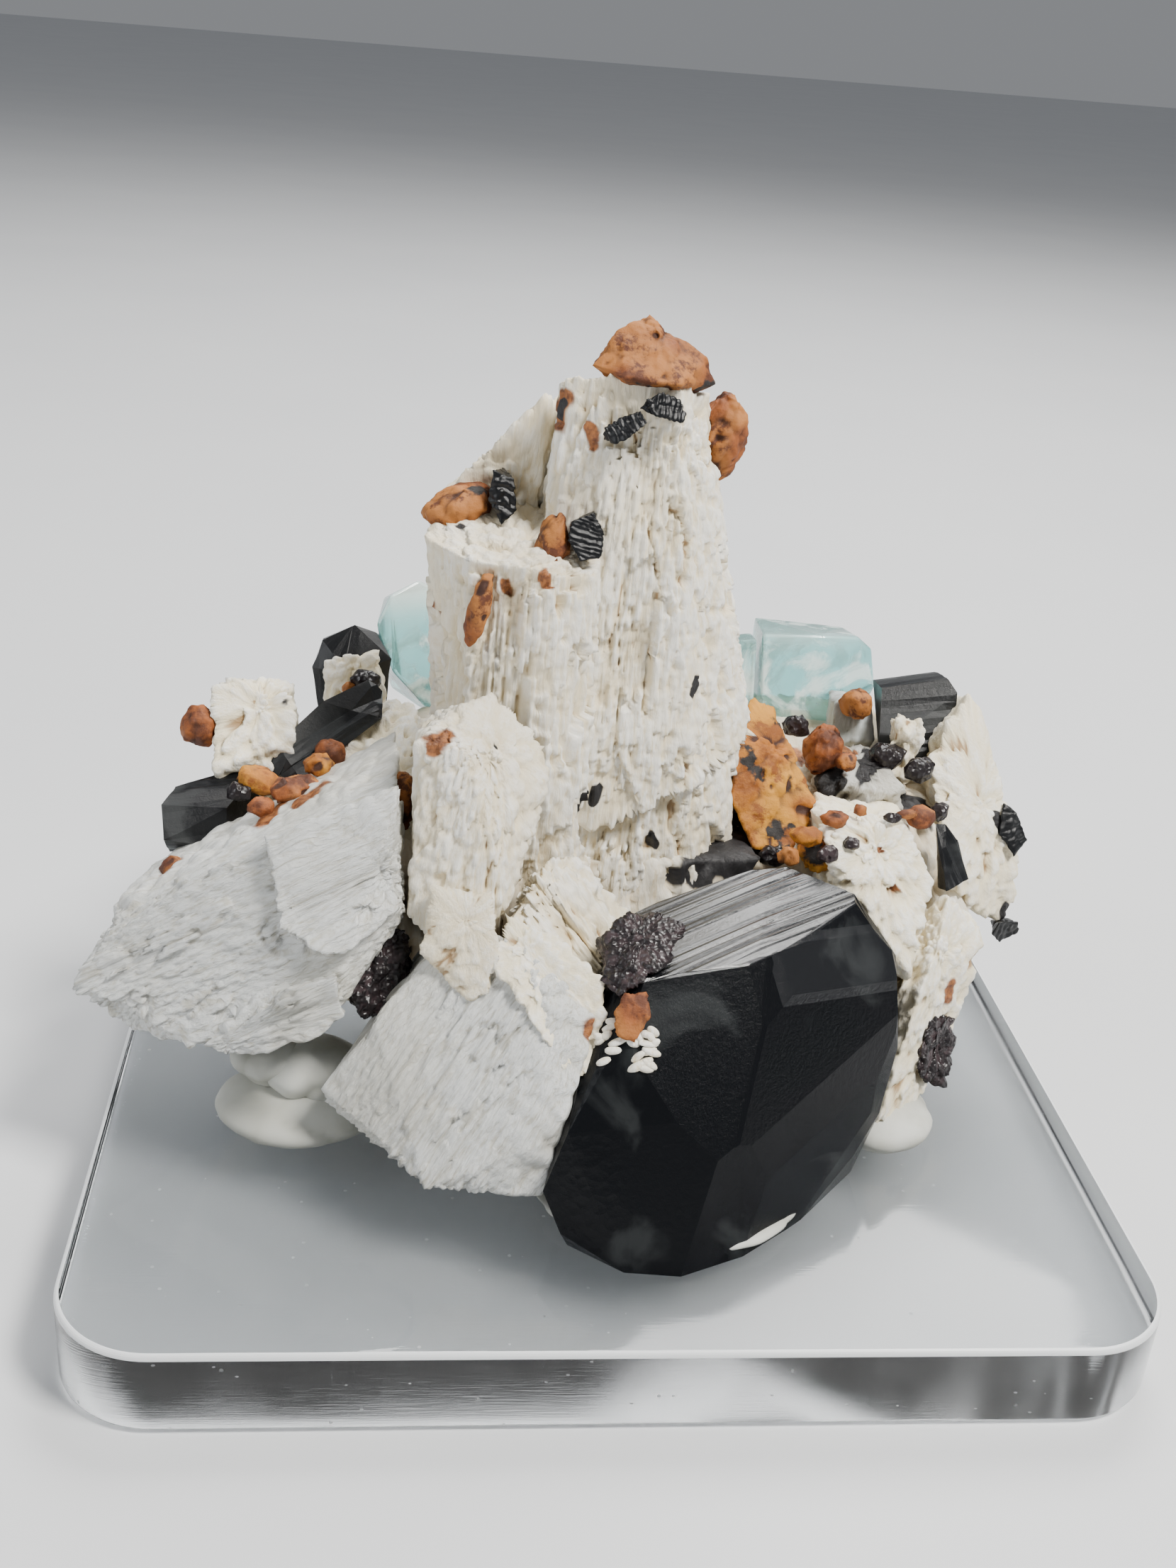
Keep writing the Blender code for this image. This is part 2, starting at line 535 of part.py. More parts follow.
BLADE = [
    (-40.4, -12.6, 17.4), (-37.6, -12.0, 22.0), (-31.8, -13.2, 27.0), (-25.9, -14.2, 31.0),
    (-16.0, -14.2, 35.6), (-15.6, -17.2, 26.6), (-19.9, -19.2, 22.6), (-20.1, -19.2, 19.2),
    (-30.7, -17.2, 15.1), (-35.9, -14.0, 13.5), (-37.4, -7.0, 22.0), (-34.7, -4.0, 23.7),
    (-31.1, -3.0, 25.7), (-27.6, -3.0, 27.9), (-24.2, -3.0, 29.8), (-21.6, -2.0, 31.3),
    (-16.8, -1.0, 33.9), (-34.0, -6.0, 15.0), (-28.0, -5.0, 14.5), (-16.0, -4.0, 17.0),
]
BLADE_BLOCK = [
    (-25.9, -14.5, 31.5), (-22.9, -14.7, 33.1), (-16.6, -14.7, 35.6), (-15.6, -18.1, 26.9),
    (-19.2, -20.1, 24.2), (-21.0, -19.9, 24.1), (-25.2, -18.5, 25.0), (-25.1, -17.0, 27.8),
    (-24.0, -10.0, 29.0), (-16.0, -10.0, 32.0), (-16.0, -12.0, 22.0), (-22.0, -14.0, 21.0),
]
BLADE_LEDGE = [
    (-30.8, -17.7, 15.6), (-26.9, -19.6, 19.6), (-24.0, -20.1, 22.8), (-20.1, -20.6, 24.1),
    (-19.3, -21.1, 20.6), (-21.5, -21.1, 18.5), (-24.9, -20.5, 16.1), (-28.5, -19.1, 14.7),
    (-27.0, -13.0, 19.0), (-20.0, -14.0, 22.0), (-20.0, -14.0, 15.5), (-28.0, -13.0, 15.0),
]
LEFT_STUB = [
    (-32.4, 4.0, 34.8), (-30.2, 5.0, 36.0), (-27.6, 6.0, 35.9), (-25.8, 5.0, 35.1),
    (-24.0, 4.0, 34.2), (-24.2, 1.0, 31.3), (-31.4, -1.0, 29.5), (-32.0, 2.0, 31.8),
    (-31.0, 8.4, 34.0), (-25.0, 9.0, 33.5), (-31.0, 7.0, 25.0), (-24.0, 8.0, 25.0),
    (-25.0, 1.0, 25.0), (-30.0, 0.0, 25.0),
]
LEFT_SLOPE = [
    (-23.2, 8.0, 31.8), (-21.6, 9.0, 32.5), (-16.9, 9.0, 32.8), (-13.5, 5.0, 33.5),
    (-22.7, 0.0, 29.0), (-13.5, -5.0, 31.8), (-17.7, -4.2, 31.2), (-23.0, 9.0, 24.0),
    (-13.0, 9.0, 24.0), (-23.0, 0.0, 24.0), (-14.0, -5.0, 24.0),
]
BACK_CHIP = [
    (-23.9, 12.0, 33.6), (-22.4, 12.4, 34.6), (-18.2, 12.6, 35.1), (-17.1, 10.0, 31.4),
    (-23.0, 10.0, 30.6), (-23.0, 17.0, 33.4), (-17.8, 17.0, 34.2), (-23.0, 17.0, 25.0),
    (-17.5, 17.0, 25.0), (-23.0, 9.6, 25.0), (-17.5, 9.6, 25.0),
]
RIGHT_BLOCK = [
    (16.7, -8.0, 30.3), (21.0, -6.0, 30.6), (24.2, -5.0, 29.5), (26.3, -8.2, 25.1),
    (24.4, -12.2, 21.7), (22.9, -14.4, 18.9), (14.7, -10.0, 28.9), (15.0, 0.0, 30.0),
    (24.0, 1.0, 28.5), (16.0, -2.0, 18.0), (25.0, -3.0, 18.0), (19.0, -12.0, 19.0),
]
RIGHT_LOWER = [
    (25.9, -8.0, 25.5), (30.9, -6.0, 21.2), (31.3, -7.0, 19.5), (30.5, -8.0, 15.4),
    (28.8, -10.0, 13.3), (27.9, -12.2, 9.7), (24.5, -14.6, 9.2), (21.8, -17.4, 7.2),
    (19.8, -18.8, FOOT), (22.9, -14.8, 19.1), (24.5, -12.4, 21.7), (20.0, -6.0, 8.0),
    (29.0, -5.0, 11.0), (29.0, -3.0, 22.0), (20.0, -6.0, 20.0),
]
RIGHT_SLAB = [
    (30.9, 8.0, 35.8), (31.9, 8.0, 35.2), (33.4, 6.0, 31.4), (35.1, 3.0, 26.3),
    (35.8, 2.0, 25.6), (36.2, 1.0, 21.8), (36.4, 0.0, 21.3), (36.4, 0.0, 16.4),
    (32.3, -2.4, 18.5), (27.4, -4.4, 22.9), (28.5, 0.0, 27.8), (26.0, 4.0, 31.6),
    (31.0, 12.0, 34.0), (34.0, 9.0, 25.0), (34.0, 8.0, 16.0), (28.0, 8.0, 17.0),
    (27.0, 9.0, 30.0),
]
RIGHT_BLADES = [
    (17.0, 2.0, 30.6), (20.0, 3.0, 31.4), (24.0, 2.0, 30.8), (25.0, -1.2, 29.4),
    (16.4, -2.0, 29.2), (16.6, 8.0, 30.4), (24.0, 8.0, 30.6), (17.0, 0.0, 25.0),
    (24.0, 0.0, 25.0), (20.0, 8.0, 25.0),
]
RIGHT_CHIP = [
    (23.2, 5.0, 34.0), (26.6, 4.8, 34.4), (27.8, 4.2, 31.2), (26.4, 3.0, 28.8),
    (23.0, 3.2, 29.0), (24.0, 7.0, 33.0), (27.0, 7.0, 31.0), (25.0, 6.0, 26.0),
]

# The mass that the crystals grow from, in three blocks from left to right
MATRIX_BLOCKS = [
    [
        (-30.0, -4.0, 24.0), (-30.0, 6.0, 25.0), (-27.0, 12.0, 26.0), (-14.0, 18.0, 29.0),
        (-12.0, -6.0, 28.0), (-28.0, -8.0, 17.0), (-26.0, 9.0, 13.0),
        (-12.0, 14.0, MATRIX_FOOT), (-12.0, -9.0, MATRIX_FOOT), (-24.0, -8.0, 13.0),
    ],
    [
        (-14.0, -10.0, 26.0), (-14.0, 15.0, 29.0), (11.0, 18.0, 29.0), (12.0, -8.0, 27.0),
        (-13.0, -13.0, MATRIX_FOOT), (-12.0, 13.0, MATRIX_FOOT),
        (10.0, 14.0, MATRIX_FOOT), (10.0, -14.0, MATRIX_FOOT),
    ],
    [
        (9.0, -8.0, 27.0), (11.0, 19.0, 31.0), (26.0, 19.0, 30.0), (31.0, 10.0, 28.0),
        (33.0, 1.0, 24.0), (31.0, -5.0, 18.0), (27.0, -9.0, 10.0), (12.0, -12.0, 9.0),
        (10.0, 13.0, MATRIX_FOOT), (26.0, 11.0, 10.0), (24.0, -3.0, 28.0),
    ],
]
GREY_CRYSTAL = [
    (19.7, 9.8, 32.8), (20.9, 10.4, 33.6), (24.1, 10.6, 33.2), (24.1, 8.8, 29.9),
    (19.7, 8.6, 29.4), (20.4, 14.0, 32.6), (24.0, 14.0, 32.2), (20.0, 12.0, 26.0),
    (24.0, 12.0, 26.0),
]
add_piece("feldspar_grey_crystal", GREY_FELDSPAR, [hull(GREY_CRYSTAL)])

# Corner lists, fibre axis, flute width, length between cracks, depths of groove and ledge
FELDSPAR_CRYSTALS = {
    "feldspar_tower": (
        [COLUMN, LOWER_COLUMN, SHORT_COLUMN, BUTTRESS],
        (0.02, 0.0, 1.0), 5.6, 11.0, 0.9, 0.6),
    "feldspar_front_stub": ([FRONT_STUB], (0.02, -0.08, 1.0), 4.6, 8.0, 0.6, 0.4),
    "feldspar_leaning_stub": ([LEANING_STUB], (0.55, 0.5, 0.67), 4.6, 8.0, 0.5, 0.4),
    "feldspar_front_fan": ([FRONT_FAN], (-0.5, -0.15, -0.85), 7.0, 10.0, 0.6, 0.5),
    "feldspar_left_blade": (
        [BLADE, BLADE_BLOCK, BLADE_LEDGE], (0.86, 0.0, 0.5), 8.0, 12.0, 0.6, 0.5),
    "feldspar_left_stub": ([LEFT_STUB], (0.0, 0.1, 1.0), 5.6, 8.0, 0.5, 0.3),
    "feldspar_left_slope": ([LEFT_SLOPE], (0.2, -0.8, 0.1), 9.0, 12.0, 0.5, 0.3),
    "feldspar_back_chip": ([BACK_CHIP], (0.0, 0.0, 1.0), 8.0, 10.0, 0.3, 0.2),
    "feldspar_right_block": ([RIGHT_BLOCK], (0.1, -0.3, 1.0), 5.6, 8.0, 0.6, 0.4),
    "feldspar_right_lower": ([RIGHT_LOWER], (0.15, 0.1, 1.0), 6.0, 9.0, 0.5, 0.3),
    "feldspar_right_slab": ([RIGHT_SLAB], (0.15, -0.25, 0.95), 6.0, 9.0, 0.5, 0.3),
    "feldspar_right_chip": ([RIGHT_CHIP], (0.0, 0.0, 1.0), 5.0, 6.0, 0.3, 0.2),
    "feldspar_right_blades": ([RIGHT_BLADES], (0.3, 0.2, 1.0), 6.0, 8.0, 0.5, 0.3),
    "feldspar_matrix": (MATRIX_BLOCKS, (0.0, 0.1, 1.0), 16.0, 18.0, 1.0, 0.5),
}
for number, (piece_name, facts) in enumerate(FELDSPAR_CRYSTALS.items()):
    corner_lists, *wear = facts
    blocks = [broken_crystal(corner_list, *wear, 100 + 10 * number + k)
              for k, corner_list in enumerate(corner_lists)]
    outlines = [hull(corner_list) for corner_list in corner_lists]
    add_piece(piece_name, FELDSPAR, blocks, outlines)


# White putty, pressed between the crystals and the block: centres and radii of its lumps
PUTTY_LUMPS = {
    "putty_left": (((-23.4, -13.6, 7.2), (6.6, 5.6, 3.4)),
                   ((-23.8, -11.6, 9.2), (5.4, 4.2, 4.4))),
    "putty_right": (((21.6, -13.6, 7.2), (4.9, 5.6, 3.0)),),
    "putty_front": (((2.0, -22.6, 6.4), (11.6, 7.4, 2.4)),),
    "putty_back": (((0.0, 9.0, 7.0), (8.0, 6.0, 4.0)),),
}
PUTTY_FOLDS = 0.06
for number, (piece_name, lumps) in enumerate(PUTTY_LUMPS.items()):
    forms = [nodule(*lump, (0, 0, 0), 2, PUTTY_FOLDS, 71 + number) for lump in lumps]
    add_piece(piece_name, PUTTY, [lumpy for lumpy, smooth in forms],
              [smooth for lumpy, smooth in forms], smooth=True)
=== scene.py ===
"""Detailed looks of the aquamarine and schorl on feldspar, on its clear acrylic block.

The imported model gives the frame: +Z up, the front is -Y, and the origin is the centre of
the block's underside. Lengths in this file are in millimetres unless a comment says
otherwise, and MM turns them into metres.

A convex form is (normals, distances, centre): the outward normals of its faces, their
distances from the origin, and a point inside.
"""

import math

import bmesh
import bpy
import numpy as np
from mathutils import Matrix, Vector


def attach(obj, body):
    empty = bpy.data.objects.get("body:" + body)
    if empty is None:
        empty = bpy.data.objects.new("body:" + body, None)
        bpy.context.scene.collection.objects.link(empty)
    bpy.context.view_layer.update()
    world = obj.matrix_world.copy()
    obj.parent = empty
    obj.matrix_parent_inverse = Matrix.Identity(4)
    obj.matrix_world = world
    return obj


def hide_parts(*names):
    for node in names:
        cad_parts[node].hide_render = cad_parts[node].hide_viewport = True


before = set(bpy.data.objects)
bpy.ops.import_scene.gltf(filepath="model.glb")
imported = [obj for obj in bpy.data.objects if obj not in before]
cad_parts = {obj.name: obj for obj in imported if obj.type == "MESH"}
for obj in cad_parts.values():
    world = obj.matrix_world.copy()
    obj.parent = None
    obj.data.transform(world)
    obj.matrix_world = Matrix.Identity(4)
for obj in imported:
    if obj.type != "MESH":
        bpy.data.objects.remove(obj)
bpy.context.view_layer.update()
MM = 0.001


# Camera, floor and lights.
# The camera stands where the photograph's did: in front, a little to the left and
# looking down. The floor is pale, with a warm light at the front right, a weak one at
# the left, and a large one behind that the crystals' top faces mirror.
FOCAL_PIXELS = 2340.88
PHOTO_HEIGHT = 2212
SENSOR_HEIGHT = 36.0
PITCH, YAW, ROLL = 0.436887, -0.122746, 0.084078
CAMERA_PLACE = (-0.016228, -0.118536, 0.084927)
AIM = (0, 0, 0.03)
FLOOR_HALF = 3
FLOOR_HEIGHT = -0.0003

camera_data = bpy.data.cameras.new("camera")
camera_data.sensor_fit = "VERTICAL"
camera_data.sensor_height = SENSOR_HEIGHT
camera_data.lens = SENSOR_HEIGHT * FOCAL_PIXELS / PHOTO_HEIGHT
camera_data.clip_start = 0.005
camera = bpy.data.objects.new("camera", camera_data)
turned = Matrix.Rotation(ROLL, 3, "Z") @ Matrix.Rotation(PITCH, 3, "X")
looking = (turned @ Matrix(((1, 0, 0), (0, 0, -1), (0, 1, 0)))
           @ Matrix.Rotation(-YAW, 3, "Z"))
right, down, forward = looking
view = Matrix((right, -down, -forward)).transposed().to_4x4()
camera.matrix_world = Matrix.Translation(CAMERA_PLACE) @ view
bpy.context.scene.collection.objects.link(camera)
bpy.context.scene.camera = camera


def area_light(name, place, size, power, colour):
    """Square area light at a place in metres, aimed at the specimen."""
    data = bpy.data.lights.new(name, "AREA")
    data.size = size
    data.energy = power
    data.color = colour
    made = bpy.data.objects.new(name, data)
    made.location = place
    made.rotation_euler = (Vector(AIM) - made.location).to_track_quat("-Z", "Y").to_euler()
    bpy.context.scene.collection.objects.link(made)


area_light("light_key", (0.26, -0.2, 0.52), 0.15, 6.4, (1.0, 0.975, 0.93))
area_light("light_left", (-0.5, -0.2, 0.34), 0.25, 1.5, (0.95, 0.975, 1.0))
area_light("light_back", (0.124, 0.32, 0.51), 0.3, 3.6, (1.0, 0.99, 0.97))
world = bpy.data.worlds.new("studio")
world.use_nodes = True
world.node_tree.nodes["Background"].inputs["Color"].default_value = (0.92, 0.95, 1.0, 1.0)
world.node_tree.nodes["Background"].inputs["Strength"].default_value = 0.26
bpy.context.scene.world = world


def node(tree, kind, **values):
    """Shader node of that kind. Values name its properties or set its sockets."""
    made = tree.nodes.new("ShaderNode" + kind)
    for key, value in values.items():
        name = key.replace("_", " ")
        if hasattr(made, key):
            setattr(made, key, value)
        elif isinstance(value, bpy.types.NodeSocket):
            tree.links.new(value, made.inputs[name])
        else:
            made.inputs[name].default_value = value
    return made


def mixed(tree, factor, first, second):
    """Colour socket between two colours or colour sockets."""
    made = tree.nodes.new("ShaderNodeMix")
    made.data_type = "RGBA"
    for socket, value in ((made.inputs[0], factor), (made.inputs[6], first),
                          (made.inputs[7], second)):
        if isinstance(value, bpy.types.NodeSocket):
            tree.links.new(value, socket)
        else:
            socket.default_value = value
    return made.outputs[2]


def new_look(name):
    """Material, its node tree, its surface shader and the socket of the place on the object."""
    made = bpy.data.materials.new(name)
    made.use_nodes = True
    place = node(made.node_tree, "TexCoord").outputs["Object"]
    return made, made.node_tree, made.node_tree.nodes["Principled BSDF"], place


floor_mesh = bpy.data.meshes.new("floor")
floor_corners = [(side_x * FLOOR_HALF, side_y * FLOOR_HALF, FLOOR_HEIGHT)
                 for side_x, side_y in ((-1, -1), (1, -1), (1, 1), (-1, 1))]
floor_mesh.from_pydata(floor_corners, [], [(0, 1, 2, 3)])
floor = bpy.data.objects.new("floor", floor_mesh)
bpy.context.scene.collection.objects.link(floor)
FLOOR_LOOK, tree, shader, place = new_look("pale_floor")
grain = node(tree, "TexNoise", Vector=place, Scale=18.0, Detail=4.0).outputs["Fac"]
tree.links.new(mixed(tree, grain, (0.62, 0.63, 0.65, 1), (0.68, 0.69, 0.7, 1)),
               shader.inputs["Base Color"])
shader.inputs["Roughness"].default_value = 0.6
floor_mesh.materials.append(FLOOR_LOOK)


# Acrylic block.
# One cast and polished block of clear acrylic, square with rounded corners. Its edges
# are rounded, and its top edge is made rough and less clear so that it shows a pale line,
# a painted highlight. Handling has left fine scratches and dust.
BASE_WIDTH = 76.0
BASE_THICKNESS = 6.35
BASE_CORNER = 7.0
BASE_EDGE = 0.4
SCRATCH_ROUGHNESS = 0.22
WEAR_SHARE = 0.4
EDGE_HIGHLIGHT_ROUGHNESS = 0.35
EDGE_HIGHLIGHT_CLEARNESS = 0.3


def add(name, mesh, look, slot, *replaced):
    """Object with the mesh and look, fixed to the part, in place of the pieces replaced."""
    made = bpy.data.objects.new(name, mesh)
    bpy.context.scene.collection.objects.link(made)
    mesh.materials.append(look)
    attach(made, "root")
    if replaced:
        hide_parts(*replaced)
    return made


def maths(tree, operation, *numbers):
    """Number socket of an operation on numbers or number sockets."""
    made = tree.nodes.new("ShaderNodeMath")
    made.operation = operation
    for socket, value in zip(made.inputs, numbers):
        if isinstance(value, bpy.types.NodeSocket):
            tree.links.new(value, socket)
        else:
            socket.default_value = value
    return made.outputs[0]


def between(tree, share, low, high):
    """Number socket that goes from low to high as the share goes from 0 to 1."""
    made = tree.nodes.new("ShaderNodeMapRange")
    tree.links.new(share, made.inputs["Value"])
    made.inputs["To Min"].default_value = low
    made.inputs["To Max"].default_value = high
    return made.outputs["Result"]


def ramp(tree, value, low, high):
    """Number socket that goes from 0 to 1 as the value goes from low to high."""
    made = tree.nodes.new("ShaderNodeMapRange")
    made.interpolation_type = "SMOOTHSTEP"
    made.inputs["From Min"].default_value = low
    made.inputs["From Max"].default_value = high
    tree.links.new(value, made.inputs["Value"])
    return made.outputs["Result"]


def fine_bumps(tree, shader, height, strength, distance):
    """Bumps too small for the mesh: as high, in metres, as the distance at height 1."""
    bump = node(tree, "Bump", Strength=strength, Distance=distance, Height=height)
    tree.links.new(bump.outputs["Normal"], shader.inputs["Normal"])


def round_square(inset, height, steps=20):
    """Ring of points: a square with round corners, drawn in by the inset."""
    turn = np.linspace(0, math.pi / 2, steps)
    corner = BASE_WIDTH / 2 - BASE_CORNER
    radius = BASE_CORNER - inset
    rings = []
    for quarter, (sign_x, sign_y) in enumerate(((1, 1), (-1, 1), (-1, -1), (1, -1))):
        angle = turn + quarter * math.pi / 2
        rings.append(np.stack([sign_x * corner + radius * np.cos(angle),
                               sign_y * corner + radius * np.sin(angle),
                               np.full(steps, height)], -1))
    return np.concatenate(rings)


# From the underside to the top: a quarter circle in, the upright side, one back
edge_turn = np.linspace(0, math.pi / 2, 6)
profile = [(BASE_EDGE * (1 - math.sin(a)), BASE_EDGE * (1 - math.cos(a))) for a in edge_turn]
profile += [(inset, BASE_THICKNESS - height) for inset, height in reversed(profile)]
rings = np.array([round_square(inset, height) for inset, height in profile])
count, around, _ = rings.shape
index = np.arange(count * around).reshape(count, around)
ahead = np.roll(index, -1, axis=1)
sides = np.stack([index[:-1], ahead[:-1], ahead[1:], index[1:]], -1).reshape(-1, 4)
base_mesh = bpy.data.meshes.new("acrylic_block")
base_mesh.from_pydata((rings.reshape(-1, 3) * MM).tolist(), [],
                      sides.tolist() + [index[0, ::-1].tolist(), index[-1].tolist()])
base_mesh.update()
base_mesh.shade_smooth()
base_mesh.set_sharp_from_angle(angle=math.radians(12))

ACRYLIC, tree, shader, place = new_look("clear_acrylic")
shader.inputs["Base Color"].default_value = (0.94, 0.965, 0.98, 1.0)
shader.inputs["IOR"].default_value = 1.49
stretched = node(tree, "Mapping", Vector=place, Rotation=(0.0, 0.0, 0.6),
                 Scale=(300.0, 5000.0, 300.0)).outputs["Vector"]
scratch = node(tree, "TexNoise", Vector=stretched, Scale=1.0, Detail=3.0).outputs["Fac"]
dust = node(tree, "TexVoronoi", Vector=place, Scale=420.0).outputs["Distance"]
haze = node(tree, "TexNoise", Vector=place, Scale=45.0, Detail=5.0).outputs["Fac"]
worn = maths(tree, "MULTIPLY_ADD", ramp(tree, scratch, 0.58, 0.78), SCRATCH_ROUGHNESS,
             ramp(tree, haze, 0.35, 1.15))
worn = maths(tree, "MAXIMUM", worn, ramp(tree, dust, 0.075, 0.045))
worn = maths(tree, "MULTIPLY", worn, WEAR_SHARE)
height = node(tree, "SeparateXYZ", Vector=place).outputs["Z"]
# The top rounded edge is rough and only partly clear: a painted highlight line along it.
highlight_edge = maths(tree, "COMPARE", height, (BASE_THICKNESS - BASE_EDGE / 2) * MM,
                0.48 * BASE_EDGE * MM)
rough = maths(tree, "MULTIPLY_ADD", highlight_edge, EDGE_HIGHLIGHT_ROUGHNESS, worn)
tree.links.new(rough, shader.inputs["Roughness"])
tree.links.new(between(tree, highlight_edge, 1.0, EDGE_HIGHLIGHT_CLEARNESS),
               shader.inputs["Transmission Weight"])
fine_bumps(tree, shader, scratch, 0.06, 0.00005)
add("acrylic_block", base_mesh, ACRYLIC, "clear_acrylic", "acrylic_base")


# White putty.
# Soft mineral putty, pressed by hand between the crystals and the block: lumps with
# shallow folds and finger marks, flat underneath. All of it starts a hair above the block.
CLEARANCE = 0.36
FOOT = BASE_THICKNESS + CLEARANCE
PUTTY_SPACING = 0.45


def lattice(x, y, z, seed):
    """Random numbers from 0 to 1, one for each point with whole coordinates."""
    x, y, z = (np.asarray(part).astype(np.int64) for part in (x, y, z))
    number = (x * 73856093) ^ (y * 19349663) ^ (z * 83492791) ^ (seed * 2654435761)
    number &= 0xFFFFFFFF
    number = ((number ^ (number >> 15)) * 2246822519) & 0xFFFFFFFF
    number = ((number ^ (number >> 13)) * 3266489917) & 0xFFFFFFFF
    return (number ^ (number >> 16)) / 0xFFFFFFFF


def noise(points, size, seed):
    """Smooth noise from 0 to 1: lattice numbers, blended between lattice points."""
    scaled = points / np.asarray(size, float)
    base = np.floor(scaled)
    blend = scaled - base
    blend = blend * blend * (3 - 2 * blend)
    total = 0.0
    for corner in np.ndindex(2, 2, 2):
        weight = np.where(corner, blend, 1 - blend).prod(-1)
        x, y, z = np.moveaxis(base + corner, -1, 0)
        total = total + weight * lattice(x, y, z, seed)
    return total


def skin(name, rows, **attributes):
    """Closed mesh over a grid of rings, whose end rings are drawn to a point.

    Ring i, point j joins ring i + 1 and point j + 1. Each attribute has three numbers
    for every point, which the looks read.
    """
    count, around, _ = rows.shape
    grids = {key: np.concatenate([grid.reshape(-1, 3), grid[:1].mean(1), grid[-1:].mean(1)])
             for key, grid in {"position": rows, **attributes}.items()}
    points = grids.pop("position")
    index = np.arange(count * around).reshape(count, around)
    ahead = np.roll(index, -1, axis=1)
    quads = np.stack([index[:-1], ahead[:-1], ahead[1:], index[1:]], -1).reshape(-1, 4)
    tip = np.full(around, count * around)
    fans = np.concatenate([np.stack([ahead[0], index[0], tip], -1),
                           np.stack([index[-1], ahead[-1], tip + 1], -1)])
    mesh = bpy.data.meshes.new(name)
    mesh.vertices.add(len(points))
    mesh.vertices.foreach_set("co", (points * MM).ravel())
    corners = np.concatenate([quads.ravel(), fans.ravel()])
    sizes = np.concatenate([np.full(len(quads), 4), np.full(len(fans), 3)])
    mesh.loops.add(len(corners))
    mesh.loops.foreach_set("vertex_index", corners)
    mesh.polygons.add(len(sizes))
    mesh.polygons.foreach_set("loop_start", np.concatenate([[0], np.cumsum(sizes)[:-1]]))
    mesh.update(calc_edges=True)
    for key, numbers in grids.items():
        mesh.attributes.new(key, "FLOAT_VECTOR", "POINT").data.foreach_set("vector", numbers.ravel())
    mesh.shade_smooth()
    return mesh


def lump(name, centre, radii, folds, seed):
    """Lumpy ball: radii times 1 less folded noise, at even turns and tilts, flat at FOOT."""
    radii = np.array(radii)
    around = int(2 * math.pi * radii[:2].mean() / PUTTY_SPACING)
    count = int(math.pi * radii[2] / PUTTY_SPACING) + 10
    turn = np.linspace(0, 2 * math.pi, around, endpoint=False)[None, :]
    tilt = np.linspace(-math.pi / 2, math.pi / 2, count + 2)[1:-1, None]
    unit = np.stack([np.cos(tilt) * np.cos(turn), np.cos(tilt) * np.sin(turn),
                     np.sin(tilt) + 0 * turn], -1)
    spread = unit * radii + centre
    creases = np.abs(2 * noise(spread, 4.2, seed) - 1) ** 0.7
    small = noise(spread, 1.4, seed + 1)
    depth = folds * (0.75 * (1 - creases) + 0.25 * small)
    rows = centre + unit * radii * (1 - depth)[..., None]
    rows[..., 2] = np.maximum(rows[..., 2], FOOT)
    marks = np.stack([1 - creases, small, 0 * small], -1)
    return skin(name, rows, marks=marks)


def mark_sockets(tree):
    """The three marks of a skin, as number sockets."""
    marks = node(tree, "Attribute", attribute_name="marks").outputs["Vector"]
    return node(tree, "SeparateXYZ", Vector=marks).outputs


PUTTY, tree, shader, place = new_look("white_putty")
crease_shade = mark_sockets(tree)["X"]
blotch = node(tree, "TexNoise", Vector=place, Scale=320.0, Detail=6.0).outputs["Fac"]
tint = mixed(tree, ramp(tree, blotch, 0.4, 0.7), (0.66, 0.67, 0.63, 1), (0.54, 0.54, 0.48, 1))
# The creases are darkened towards grey: painted shade.
tree.links.new(mixed(tree, crease_shade, tint, (0.4, 0.4, 0.35, 1)), shader.inputs["Base Color"])
shader.inputs["Roughness"].default_value = 0.62
shader.inputs["Subsurface Weight"].default_value = 0.12
shader.inputs["Subsurface Radius"].default_value = (0.001, 0.0009, 0.0007)
shader.inputs["Subsurface Scale"].default_value = 1.0
fine_bumps(tree, shader, blotch, 0.4, 0.0002)
# Centre, radii, share of the radii that the folds take, and the piece it stands for
PUTTY_LUMPS = {
    "putty_left_disc": ((-23.4, -13.6, 8.0), (6.6, 5.6, 2.0), 0.14, ["putty_left"]),
    "putty_left_fold": ((-22.4, -12.6, 10.4), (4.6, 4.0, 2.6), 0.34, []),
    "putty_left_roll": ((-25.6, -12.2, 11.2), (3.4, 3.2, 2.2), 0.3, []),
    "putty_right_lump": ((21.6, -13.6, 8.0), (4.8, 5.4, 1.9), 0.14, ["putty_right"]),
    "putty_front_layer": ((4.0, -22.9, 7.5), (10.4, 7.3, 1.0), 0.1, ["putty_front"]),
    "putty_back_lump": ((0.0, 9.0, 8.2), (8.0, 6.0, 2.8), 0.12, ["putty_back"]),
}
for number, (name, (centre, radii, folds, stood_for)) in enumerate(PUTTY_LUMPS.items()):
    mesh = lump(name, np.array(centre), radii, folds, 900 + 7 * number)
    add(name, mesh, PUTTY, "white_putty", *stood_for)


